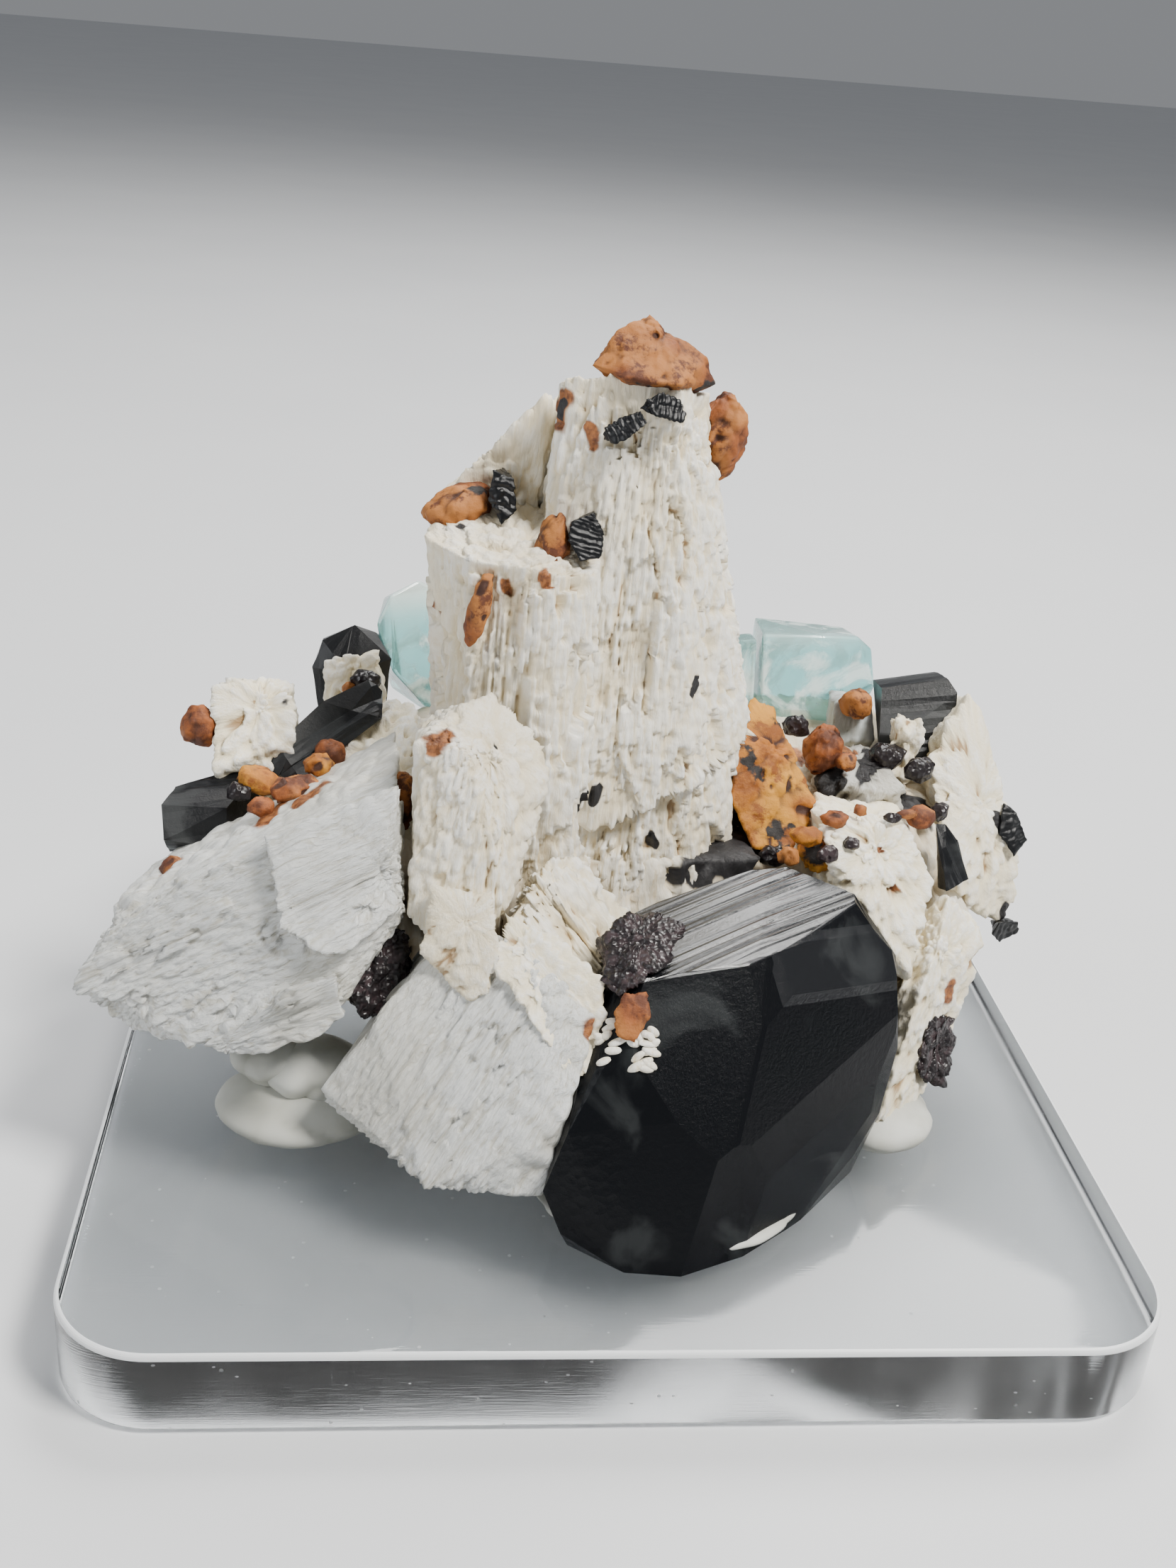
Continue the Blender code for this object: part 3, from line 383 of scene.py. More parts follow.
# Large schorl crystal at the front.
# Black tourmaline, one crystal with flat growth faces. The two top faces shine and carry
# fine striations parallel to the ridge, a narrow bevel runs along the second ridge, and
# the lower faces are where it broke off.
SCHORL_CORNERS = [
    (3.0, -23.0, 24.0), (10.7, -18.5, 25.2), (17.8, -13.1, 25.6), (17.6, -11.5, 26.4),
    (12.9, -9.5, 27.3), (10.1, -10.0, 27.2), (2.7, -13.5, 26.2), (-0.8, -16.0, 25.9),
    (1.2, -22.0, 24.6), (21.1, -14.0, 22.2), (20.1, -17.0, 21.1), (23.1, -13.5, 19.1),
    (21.3, -17.0, 16.0), (20.1, -19.0, 11.6), (18.0, -21.0, 9.2), (17.3, -21.5, 13.5),
    (6.9, -27.0, 17.0), (10.5, -25.5, 15.7), (-2.3, -24.5, 19.6), (-4.3, -27.0, 15.5),
    (-5.8, -28.0, 11.4), (-4.5, -29.0, 8.6), (-0.1, -30.8, FOOT), (3.8, -31.2, FOOT),
    (9.1, -28.9, FOOT), (13.4, -25.3, FOOT), (18.4, -19.8, FOOT), (-3.8, -28.0, FOOT),
    (-3.0, -18.0, 12.0), (4.0, -10.0, 12.0), (17.0, -10.0, 12.0), (21.0, -11.0, 18.0),
]
# Each flat face by the numbers of the corners that it lies through
SCHORL_FACES = {
    "top_left": (0, 1, 5, 6, 8), "top_right": (1, 2, 3, 4, 5), "right_top": (1, 2, 9, 10),
    "front_left": (0, 1, 16, 17, 18), "front_right": (1, 10, 12, 15, 17),
    "low_right": (17, 15, 14, 25, 24), "right": (9, 10, 11, 12, 31),
}
# How deep the edge between two faces is worn off
SCHORL_BEVELS = {
    ("right_top", "front_right"): 0.3, ("top_left", "front_left"): 0.05,
    ("top_left", "top_right"): 0.03, ("right_top", "right"): 0.3,
    ("front_right", "low_right"): 0.25, ("front_left", "front_right"): 0.04,
}
STRIA_SPACING = 0.2
STRIA_DEPTH = 0.07
# A face is bright within this distance of its plane
FACE_MARGIN = 0.12


def hull_of(points):
    """Closed convex mesh through the outermost points."""
    mesh = bmesh.new()
    for point in points:
        mesh.verts.new(point)
    bmesh.ops.convex_hull(mesh, input=mesh.verts, use_existing_faces=False)
    loose = [vertex for vertex in mesh.verts if not vertex.link_faces]
    bmesh.ops.delete(mesh, geom=loose, context="VERTS")
    bmesh.ops.recalc_face_normals(mesh, faces=mesh.faces)
    mesh.normal_update()
    return mesh


def plane_through(points, inside):
    """Unit normal, away from the inside point, and distance of the best plane."""
    middle = points.mean(0)
    normal = np.linalg.svd(points - middle)[2][2]
    if normal @ (middle - inside) < 0:
        normal = -normal
    return normal, normal @ middle


def cut_flat(mesh, normal, distance):
    """Cut off and close what lies beyond the plane."""
    parts = list(mesh.verts) + list(mesh.edges) + list(mesh.faces)
    cut = bmesh.ops.bisect_plane(mesh, geom=parts, dist=1e-4, plane_no=normal,
                                 plane_co=Vector(normal) * distance, clear_outer=True)
    rim = [part for part in cut["geom_cut"] if isinstance(part, bmesh.types.BMEdge)]
    bmesh.ops.edgenet_fill(mesh, edges=rim)
    bmesh.ops.recalc_face_normals(mesh, faces=mesh.faces)
    mesh.normal_update()


def striated(mesh, normal, along, spacing, depth, seed, within=4.0):
    """Striations on the faces within some degrees of the normal.

    Planes along the direction cut these faces into strips, and each cut line then sinks
    by a depth of its own.
    """
    across = Vector(normal).cross(Vector(along)).normalized()
    limit = math.cos(math.radians(within))
    faces = [face for face in mesh.faces if face.normal.dot(Vector(normal)) > limit]
    heights = [vertex.co.dot(across) / spacing for face in faces for vertex in face.verts]
    if not heights:
        return
    for step in range(math.ceil(min(heights)), math.floor(max(heights)) + 1):
        faces = [face for face in mesh.faces if face.normal.dot(Vector(normal)) > limit]
        edges = list({edge for face in faces for edge in face.edges})
        points = list({vertex for face in faces for vertex in face.verts})
        bmesh.ops.bisect_plane(mesh, geom=points + edges + faces, dist=1e-3,
                               plane_no=across, plane_co=across * spacing * step)
    faces = [face for face in mesh.faces if face.normal.dot(Vector(normal)) > limit]
    points = list({vertex for face in faces for vertex in face.verts})
    lines = np.array([vertex.co.dot(across) / spacing for vertex in points])
    sink = depth * lattice(np.round(lines), 0 * lines, 0 * lines, seed) ** 2
    for vertex, amount in zip(points, sink):
        vertex.co -= Vector(normal) * amount


def finished_mesh(name, mesh):
    """Mesh data in metres, flat shaded, from a bmesh in millimetres."""
    bmesh.ops.triangulate(mesh, faces=mesh.faces)
    bmesh.ops.scale(mesh, vec=(MM, MM, MM), verts=mesh.verts)
    data = bpy.data.meshes.new(name)
    mesh.to_mesh(data)
    return data


schorl_corners = np.array(SCHORL_CORNERS)
inside = schorl_corners.mean(0)
schorl_mesh = hull_of(SCHORL_CORNERS)
schorl_planes = {name: plane_through(schorl_corners[list(numbers)], inside)
                 for name, numbers in SCHORL_FACES.items()}
for normal, distance in schorl_planes.values():
    cut_flat(schorl_mesh, normal, distance)
bevel_planes = {}
for (first, second), depth in SCHORL_BEVELS.items():
    (normal_a, distance_a), (normal_b, distance_b) = schorl_planes[first], schorl_planes[second]
    middle = normal_a + normal_b
    length = np.linalg.norm(middle)
    distance = (distance_a + distance_b) / length - depth
    bevel_planes[first, second] = (middle / length, distance)
    cut_flat(schorl_mesh, middle / length, distance)
ridge = schorl_corners[1] - schorl_corners[0]
for seed, name in ((3, "top_left"), (5, "top_right")):
    striated(schorl_mesh, schorl_planes[name][0], ridge, STRIA_SPACING, STRIA_DEPTH, seed)


def schorl_look(name, smooth, duller, bright_faces=()):
    """Black tourmaline: glassy, with dull patches and fine pits that glint.

    Smooth is the roughness of its glassy parts, and duller what the patches add. Where
    bright faces are given, as planes, they shine and the rest hardly does, and the
    crystal is granular to the left of its knob.
    """
    look, tree, shader, place = new_look(name)
    speckle = node(tree, "TexNoise", Vector=place, Scale=2600.0, Detail=6.0, Roughness=0.75)
    patch = node(tree, "TexNoise", Vector=place, Scale=130.0, Detail=5.0,
                 Distortion=0.6).outputs["Fac"]
    dull = ramp(tree, patch, 0.56, 0.66)
    height = speckle.outputs["Fac"]
    shader.inputs["Specular IOR Level"].default_value = 0.22
    if bright_faces:
        bright = 0.0
        for normal, distance in bright_faces:
            away = node(tree, "VectorMath", operation="DOT_PRODUCT", Vector=place)
            away.inputs[1].default_value = normal
            near = maths(tree, "COMPARE", away.outputs["Value"], distance * MM, FACE_MARGIN * MM)
            bright = maths(tree, "MAXIMUM", bright, near)
        tree.links.new(between(tree, bright, 0.1, 0.65), shader.inputs["Specular IOR Level"])
        across = node(tree, "SeparateXYZ", Vector=place).outputs["X"]
        share = ramp(tree, maths(tree, "MULTIPLY_ADD", patch, 0.006, across), 0.0035, 0.0015)
        grains = node(tree, "TexVoronoi", Vector=place, Scale=1500.0).outputs["Distance"]
        height = maths(tree, "MULTIPLY_ADD", grains, share, height)
    tree.links.new(mixed(tree, dull, (0.004, 0.0045, 0.0055, 1), (0.02, 0.022, 0.023, 1)),
                   shader.inputs["Base Color"])
    tree.links.new(between(tree, dull, smooth, smooth + duller), shader.inputs["Roughness"])
    shader.inputs["IOR"].default_value = 1.62
    fine_bumps(tree, shader, height, 0.4, 0.00009)
    return look


SCHORL = schorl_look("black_schorl", 0.3, 0.22)
FRONT_SCHORL = schorl_look("front_schorl", 0.14, 0.03, [
    schorl_planes["top_left"], schorl_planes["top_right"],
    bevel_planes["right_top", "front_right"]])
add("schorl_front_crystal", finished_mesh("schorl_front_crystal", schorl_mesh), FRONT_SCHORL,
    "black_schorl", "schorl_front")


# Small schorl crystals.
# Short black prisms and plates among the feldspar, with sharp edges and striated along
# their length: each by that direction, the spacing of the striations and their depth.
SMALL_SCHORL = {
    "schorl_left_prism": ((1.0, 0.2, 0.1), 0.5, 0.1),
    "schorl_left_ribbed": ((1.0, 0.5, 0.55), 0.55, 0.35),
    "schorl_left_dome": ((0.1, 0.1, 1.0), 0.7, 0.12),
    "schorl_right_block": ((1.0, 0.0, 0.15), 0.6, 0.1),
    "schorl_right_plate": ((0.4, -0.1, -1.0), 0.35, 0.15),
}


def node_points(name):
    """Points of a CAD node, in millimetres."""
    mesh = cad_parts[name].data
    points = np.empty(len(mesh.vertices) * 3)
    mesh.vertices.foreach_get("co", points)
    return points.reshape(-1, 3) / MM


def ribbed_mesh(name, points, along, spacing, depth, seed):
    """Convex crystal whose larger faces beside the length direction are striated along it."""
    mesh = hull_of(points)
    bmesh.ops.dissolve_limit(mesh, angle_limit=math.radians(6), verts=mesh.verts,
                             edges=mesh.edges)
    mesh.normal_update()
    line = Vector(along).normalized()
    normals = [face.normal.copy() for face in mesh.faces
               if abs(face.normal.dot(line)) < 0.75 and face.calc_area() > 1.0]
    for number, normal in enumerate(normals):
        flat_line = line - normal * line.dot(normal)
        striated(mesh, normal, flat_line, spacing, depth, seed + number)
    return finished_mesh(name, mesh)


for number, (name, (along, spacing, depth)) in enumerate(SMALL_SCHORL.items()):
    mesh = ribbed_mesh(name + "_ribs", node_points(name), along, spacing, depth, 60 + 9 * number)
    add(name + "_ribs", mesh, SCHORL, "black_schorl", name)


# Rough schorl: the knob, the patch in the gap and the clump at the right foot.
# Masses of tiny black grains with glittering faces, purplish where they are bruised.
# Each is grown on to the feldspar beside it.
def reach(form, start, rays):
    """Distance along each ray from its start, inside a convex form, to the surface."""
    normals, distances, _ = form
    far = np.full(rays.shape[:-1], 1e9)
    for normal, distance in zip(normals, distances):
        facing = rays @ normal
        room = distance - start @ normal
        far = np.where(facing > 1e-6, np.minimum(far, room / np.maximum(facing, 1e-6)), far)
    return far


def form_of(points):
    """Convex form through the outermost points."""
    mesh = hull_of(points)
    normals = np.array([face.normal[:] for face in mesh.faces])
    outer = np.array([vertex.co[:] for vertex in mesh.verts])
    distances = (normals[:, None, :] * outer[None]).sum(-1).max(1)
    return normals, distances, outer.mean(0)


def crystal(name, form, axis, spacing, relief, core_share=0.6):
    """Closed skin of a convex form with relief.

    The grid is a cylinder's: from the middle of one end to its rim, along the side, and
    in to the middle of the other end. A ray runs from the cylinder's core to each grid
    point. It meets the form at the nearest of the face planes, and the relief gives how
    far below that the skin lies, and its marks.
    """
    line = np.array(Vector(axis).normalized())
    side = np.array(Vector(line).orthogonal().normalized())
    other = np.cross(line, side)
    centre = form[2]
    top, bottom = reach(form, centre, np.array([line, -line]))
    up, down = top * core_share, bottom * core_share

    turn = np.linspace(0, 2 * math.pi, 361)
    spokes = np.cos(turn)[:, None] * side + np.sin(turn)[:, None] * other
    radii = reach(form, centre, spokes)
    outline = spokes * radii[:, None]
    walked = np.concatenate([[0], np.cumsum(np.linalg.norm(np.diff(outline, axis=0), axis=1))])
    around = int(walked[-1] / spacing)
    even = np.interp(np.linspace(0, walked[-1], around, endpoint=False), walked, turn)
    spokes = np.cos(even)[:, None] * side + np.sin(even)[:, None] * other

    radius = radii.mean()
    disc = np.linspace(0, radius, int(radius / spacing) + 2)[1:-1]
    rise = np.linspace(-bottom, top, int((top + bottom) / spacing))
    across = np.concatenate([disc, np.full(len(rise), radius), disc[::-1]])
    height = np.concatenate([np.full(len(disc), -bottom), rise, np.full(len(disc), top)])
    core = np.clip(height, -down, up)
    start = centre + core[:, None, None] * line
    rays = (height - core)[:, None, None] * line + across[:, None, None] * spokes[None]
    rays /= np.linalg.norm(rays, axis=-1)[..., None]
    start = np.broadcast_to(start, rays.shape)
    far = reach(form, start, rays)
    points = start + rays * far[..., None]
    local = np.stack([points @ side, points @ other, points @ line], -1)
    depth, marks = relief(points, local, rays, np.abs(rays @ line))
    depth = np.minimum(depth, 0.6 * far)
    return skin(name, points - rays * depth[..., None], marks=marks, fibre=local)


def blobs(points, size, seed):
    """From 0 at the middle of a round knob to 1 in the creases between knobs.

    It is the distance to the nearest of the random points, one in each cube of the size.
    """
    scaled = points / size
    base = np.floor(scaled)
    nearest = np.full(points.shape[:-1], 1.0)
    for step in np.ndindex(3, 3, 3):
        cell = base + np.array(step) - 1
        x, y, z = np.moveaxis(cell, -1, 0)
        middle = cell + np.stack([lattice(x, y, z, seed + k) for k in range(3)], -1)
        nearest = np.minimum(nearest, np.linalg.norm(scaled - middle, axis=-1))
    return nearest


def grainy(size, deep, seed):
    """Relief of packed grains: blocks of one level each, with creases between them."""
    def relief(points, local, rays, ends):
        sway = points + 0.8 * size * (noise(points, size, seed) - 0.5)[..., None]
        block = np.floor(sway / size)
        level = lattice(*np.moveaxis(block, -1, 0), seed)
        fine = noise(points, 0.5 * size, seed + 1)
        knobs = blobs(points, 2.4 * size, seed + 2) ** 2
        depth = deep * (0.4 * level + 0.2 * fine + 1.1 * knobs)
        return depth, np.stack([knobs, level, fine], -1)
    return relief


GRAINY_SCHORL, tree, shader, place = new_look("grainy_schorl")
level = mark_sockets(tree)["Y"]
sparkle = node(tree, "TexVoronoi", Vector=place, Scale=2600.0).outputs["Distance"]
purplish = mixed(tree, ramp(tree, level, 0.3, 1.2), (0.012, 0.009, 0.01, 1),
                 (0.055, 0.037, 0.04, 1))
tree.links.new(purplish, shader.inputs["Base Color"])
shader.inputs["Roughness"].default_value = 0.34
shader.inputs["Specular IOR Level"].default_value = 0.4
fine_bumps(tree, shader, sparkle, 0.7, 0.0002)
KNOB = [
    (-2.2, -18.6, 26.3), (-0.5, -17.4, 27.8), (2.2, -17.4, 27.9), (4.5, -18.4, 27.2),
    (3.6, -20.4, 25.9), (0.6, -22.6, 24.6), (-1.2, -22.6, 23.2), (-2.4, -21.4, 23.6),
    (-2.6, -17.0, 24.6), (1.0, -15.6, 26.4), (1.0, -19.0, 23.0),
]
# Corners (those of its plain form where none are given), direction, grain size, relief
GRAINY_PIECES = {
    "schorl_knob": (KNOB, (0.3, 0.2, 1.0), 0.5, 0.75),
    "schorl_gap_patch": (None, (0.0, 0.3, 1.0), 0.45, 0.6),
    "schorl_right_clump": (None, (0.3, 0.0, 1.0), 0.6, 1.1),
}
for number, (name, (corners, axis, size, deep)) in enumerate(GRAINY_PIECES.items()):
    form = form_of(node_points(name) if corners is None else corners)
    mesh = crystal(name + "_grains", form, axis, 0.13, grainy(size, deep, 200 + 5 * number))
    add(name + "_grains", mesh, GRAINY_SCHORL, "black_schorl", name)


# Ribbed schorl.
# Two short curved crystals that lie near the tower's top, two stubby ones on its shoulder
# and two on the right slab: black, rounded and ribbed across, half sunk in the feldspar.
RIB_DEPTH = 0.15
# Corners, direction, distance between ribs, and the plain forms that it stands for
RIBBED_SCHORL = {
    "schorl_top_ribs_left": ([
        (-3.2, -4.5, 57.7), (-3.3, -5.2, 58.8), (-2.2, -5.0, 59.6), (-0.7, -4.9, 60.1),
        (-0.2, -5.4, 59.3), (-1.3, -6.0, 58.4), (-2.4, -6.0, 57.7), (-1.6, -3.0, 58.8),
        (-0.6, -3.2, 59.6)], (1.0, 0.0, 0.55), 0.4, ["schorl_top_ribs"]),
    "schorl_top_ribs_right": ([
        (-0.9, -4.7, 60.1), (-0.5, -5.3, 61.0), (0.7, -4.9, 61.5), (2.1, -4.6, 61.0),
        (2.6, -5.0, 59.9), (2.2, -5.5, 59.3), (1.2, -5.8, 59.7), (0.2, -5.8, 59.8),
        (0.6, -3.0, 60.6), (2.0, -3.2, 60.1)], (1.0, 0.0, -0.2), 0.4, []),
    "schorl_shoulder_crystal": (None, (0.3, 0.1, 1.0), 0.32, ["schorl_shoulder_crystal"]),
    "schorl_shoulder_ledge": (None, (0.1, 0.3, 1.0), 0.7, ["schorl_shoulder_ledge"]),
    "schorl_slab_patch": (None, (0.2, 0.0, -1.0), 0.6, ["schorl_slab_patch"]),
    "schorl_slab_tip": (None, (1.0, 0.0, -0.4), 0.6, ["schorl_slab_tip"]),
}


def ribbed_across(spacing, deep, seed):
    """Relief of round ribs across the length, unevenly spaced and deep, with fine bumps."""
    def relief(points, local, rays, ends):
        bent = local[..., 2] + 1.3 * spacing * noise(points, 0.8, seed)
        rib = np.abs(np.sin(math.pi * bent / spacing))
        fine = noise(points, 0.3, seed + 1)
        uneven = 0.4 + 0.6 * noise(points, 0.7, seed + 2)
        depth = deep * ((1 - rib) * uneven + 1.1 * fine)
        return depth, np.stack([1 - rib, fine, fine], -1)
    return relief


for number, (name, (corners, axis, apart, stood_for)) in enumerate(RIBBED_SCHORL.items()):
    form = form_of(node_points(name) if corners is None else corners)
    relief = ribbed_across(apart, RIB_DEPTH, 230 + number)
    mesh = crystal(name + "_ribbed", form, axis, 0.09, relief)
    add(name + "_ribbed", mesh, SCHORL, "black_schorl", *stood_for)


# Aquamarine.
# Short six-sided prisms of pale blue beryl, see-through with milky veils inside, and whiter
# and less clear towards the top. Flat faces with softened edges.
WHITER_FROM, WHITER_TO = 34.5, 38.5
SOFT_EDGE = 0.25
AQUAMARINE, tree, shader, place = new_look("aquamarine")
veil = node(tree, "TexNoise", Vector=place, Scale=260.0, Detail=7.0, Distortion=1.2).outputs["Fac"]
height = node(tree, "SeparateXYZ", Vector=place).outputs["Z"]
whiter_top = ramp(tree, height, WHITER_FROM * MM, WHITER_TO * MM)
milky = maths(tree, "MAXIMUM", ramp(tree, veil, 0.47, 0.64), whiter_top)
tree.links.new(mixed(tree, milky, (0.33, 0.7, 0.7, 1), (0.8, 0.92, 0.89, 1)),
               shader.inputs["Base Color"])
tree.links.new(between(tree, milky, 0.85, 0.3), shader.inputs["Transmission Weight"])
tree.links.new(between(tree, veil, 0.02, 0.3), shader.inputs["Roughness"])
shader.inputs["IOR"].default_value = 1.57
fine_bumps(tree, shader, veil, 0.25, 0.0001)
for name in ("aquamarine_left", "aquamarine_right", "aquamarine_right_small"):
    mesh = hull_of(node_points(name))
    bmesh.ops.dissolve_limit(mesh, angle_limit=math.radians(7), verts=mesh.verts,
                             edges=mesh.edges)
    bmesh.ops.bevel(mesh, geom=mesh.edges, offset=SOFT_EDGE, segments=2, profile=0.6,
                    affect="EDGES", clamp_overlap=True)
    add(name + "_prism", finished_mesh(name + "_prism", mesh), AQUAMARINE, "aquamarine", name)


# Rusty nodules.
# Iron-stained lumps seated in the feldspar: orange-brown and matt, with crusty pits,
# darker brown hollows and specks of black.
def crusty(deep, seed):
    """Relief of a weathered crust: broad facets, knobs on them, and pits."""
    def relief(points, local, rays, ends):
        broad = noise(points, 2.6, seed)
        knobs = blobs(points, 1.3, seed + 1) ** 2
        small = blobs(points, 0.55, seed + 4) ** 2
        pits = np.clip((noise(points, 0.9, seed + 3) - 0.7) * 6, 0, 1)
        depth = deep * (0.45 * broad + 0.65 * knobs + 0.3 * small + 0.4 * pits)
        return depth, np.stack([np.maximum(knobs, pits), broad, small], -1)
    return relief


def rust_look(name, dark, light, ochre, spotted):
    """Iron crust: dark in the creases, orange on the knobs, ochre in broad patches.

    Spotted is the noise level above which it is black.
    """
    look, tree, shader, place = new_look(name)
    marks = mark_sockets(tree)
    cloud = node(tree, "TexNoise", Vector=place, Scale=480.0, Detail=8.0, Roughness=0.7).outputs["Fac"]
    tone = mixed(tree, ramp(tree, cloud, 0.36, 0.66), dark, light)
    tone = mixed(tree, ramp(tree, marks["Y"], 0.35, 0.7), tone, ochre)
    tone = mixed(tree, ramp(tree, cloud, 0.5, 0.4), tone, dark)
    tone = mixed(tree, ramp(tree, marks["X"], 0.35, 0.95), tone, (0.05, 0.018, 0.01, 1))
    spots = node(tree, "TexNoise", Vector=place, Scale=300.0, Detail=5.0).outputs["Fac"]
    tone = mixed(tree, ramp(tree, spots, spotted, spotted + 0.04), tone, (0.02, 0.017, 0.016, 1))
    tree.links.new(tone, shader.inputs["Base Color"])
    shader.inputs["Roughness"].default_value = 0.62
    shader.inputs["Specular IOR Level"].default_value = 0.35
    fine_bumps(tree, shader, cloud, 0.9, 0.0003)
    return look


RUST = rust_look("rusty_crust", (0.1, 0.03, 0.012, 1), (0.33, 0.098, 0.024, 1),
                 (0.4, 0.15, 0.035, 1), 0.64)
OCHRE = rust_look("ochre_crust", (0.24, 0.075, 0.012, 1), (0.47, 0.165, 0.018, 1),
                  (0.56, 0.25, 0.026, 1), 0.56)
RUST_CAP = [
    (-4.4, -3.2, 62.6), (-2.8, -2.2, 64.9), (-0.4, -1.0, 66.3), (1.8, -1.2, 65.0),
    (4.4, -1.4, 63.2), (5.3, -1.4, 61.4), (2.2, -4.9, 61.8), (-2.2, -5.0, 62.2),
    (-3.6, 2.4, 62.0), (0.4, 4.4, 62.6), (4.4, 2.4, 61.0), (0.4, 0.0, 58.4),
]
RUST_LARGE = [
    (11.0, 2.0, 36.8), (9.2, -1.0, 34.6), (9.0, -4.0, 30.0), (10.8, -5.9, 26.8),
    (13.9, -6.4, 25.6), (14.8, 0.0, 33.0), (16.6, -3.2, 29.2), (13.1, 2.0, 35.8),
    (10.0, 4.0, 30.0), (15.0, 3.0, 29.0), (12.0, 4.6, 34.0), (12.6, -1.0, 23.6),
]
RUST_BAND = [
    (1.1, -22.4, 24.2), (-0.8, -22.6, 24.2), (-1.7, -23.4, 22.9), (-1.5, -24.3, 21.6),
    (0.0, -25.0, 21.3), (1.3, -24.0, 23.0), (-0.4, -21.0, 22.6), (0.4, -22.6, 21.0),
]
NODULE_AXIS = (0.2, 0.1, 1.0)
# Corners (those of its plain form where none are given), look, relief
RUST_PIECES = {
    "rust_cap": (RUST_CAP, RUST, 0.7), "rust_right_large": (RUST_LARGE, OCHRE, 0.7),
    "rust_right_low": (None, OCHRE, 0.6), "rust_top_side": (None, RUST, 0.7),
    "rust_shoulder_cap": (None, RUST, 0.6), "rust_shoulder_lump": (None, RUST, 0.4),
    "rust_spindle": (None, RUST, 0.35), "rust_right_inner": (None, RUST, 0.6),
    "rust_right_outer": (None, RUST, 0.5), "rust_right_seam": (None, RUST, 0.3),
    "rust_left_high": (None, RUST, 0.4), "rust_left_middle": (None, OCHRE, 0.3),
    "rust_left_low": (None, RUST, 0.3), "rust_left_small": (None, RUST, 0.3),
    "rust_left_brown": (None, RUST, 0.4), "rust_left_edge": (None, RUST, 0.25),
    "rust_band": (RUST_BAND, RUST, 0.4),
}
for number, (name, (corners, look, deep)) in enumerate(RUST_PIECES.items()):
    form = form_of(node_points(name) if corners is None else corners)
    mesh = crystal(name + "_crust", form, NODULE_AXIS, 0.16, crusty(deep, 300 + 7 * number))
    stood_for = [name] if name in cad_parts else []
    add(name + "_crust", mesh, look, "rusty_nodule", *stood_for)


# Small lumps in the seams.
# Crumbs of rust and grains of black schorl, wedged between the large nodule and the right
# mass, and beside the small prisms at the left.
SEAM_RELIEF = 0.4
# Centre, radii and look
SEAM_LUMPS = [
    ((14.6, -7.6, 28.9), (1.7, 1.2, 1.1), OCHRE),
    ((16.9, -6.6, 30.0), (1.5, 1.1, 0.9), RUST),
    ((13.2, -8.4, 27.6), (1.3, 1.0, 1.2), RUST),
    ((15.9, -9.2, 28.3), (1.3, 1.0, 1.0), GRAINY_SCHORL),
    ((17.9, -8.6, 28.9), (1.0, 0.9, 0.8), GRAINY_SCHORL),
    ((19.0, -5.6, 30.3), (0.9, 0.8, 0.7), RUST),
    ((12.4, -6.6, 26.6), (1.6, 1.0, 1.2), GRAINY_SCHORL),
    ((21.6, -6.0, 29.9), (1.2, 0.7, 0.6), GRAINY_SCHORL),
    ((23.0, -5.0, 29.8), (1.4, 0.8, 0.6), RUST),
    ((19.4, 1.4, 31.2), (1.3, 1.2, 1.1), RUST),
    ((23.4, 3.4, 31.0), (2.0, 1.8, 1.4), GRAINY_SCHORL),
    ((25.6, 1.6, 30.6), (1.8, 1.6, 1.5), GRAINY_SCHORL),
    ((16.0, 5.6, 32.4), (1.6, 1.4, 1.4), GRAINY_SCHORL),
    ((26.8, -1.4, 28.4), (1.2, 1.1, 1.2), GRAINY_SCHORL),
    ((-24.6, -5.6, 30.4), (2.1, 1.6, 1.3), RUST),
    ((-26.6, -6.6, 29.6), (1.5, 1.2, 1.0), RUST),
    ((-22.6, -2.6, 31.2), (1.6, 1.4, 1.2), OCHRE),
    ((-28.6, -2.8, 28.9), (1.3, 1.3, 1.0), GRAINY_SCHORL),
    ((-19.6, 9.6, 33.4), (1.7, 1.4, 1.2), GRAINY_SCHORL),
    ((-20.9, 9.2, 32.9), (0.9, 0.9, 0.8), RUST),
]
PEBBLE_CORNERS = 18
GOLDEN_ANGLE = 2.39996


def pebble(centre, radii, seed):
    """Corners of an irregular round lump, spread by the golden angle."""
    number = np.arange(PEBBLE_CORNERS)
    height = 2 * (number + 0.5) / PEBBLE_CORNERS - 1
    angle = number * GOLDEN_ANGLE
    flat = np.sqrt(1 - height ** 2)
    unit = np.stack([flat * np.cos(angle), flat * np.sin(angle), height], -1)
    uneven = 0.8 + 0.2 * lattice(number, 0 * number, 0 * number, seed)
    return unit * uneven[:, None] * radii + centre


for number, (centre, radii, look) in enumerate(SEAM_LUMPS):
    name = "seam_lump_%02d" % (number + 1)
    slot = "black_schorl" if look == GRAINY_SCHORL else "rusty_nodule"
    form = form_of(pebble(centre, radii, 400 + number))
    mesh = crystal(name, form, NODULE_AXIS, 0.14, crusty(SEAM_RELIEF, 410 + 7 * number))
    add(name, mesh, look, slot)


# Feldspar tower.
# White feldspar, grown as bundles of upright fibres that have broken off at many
# heights: flutes along the height, ledges with jagged fibre ends, pits, and recesses coloured
# cream to dark, partly its own staining and partly painted shade. A tall column on a wider
# foot, a shorter column and a buttress behind them.
RUSTY, BLACK = 1, 2


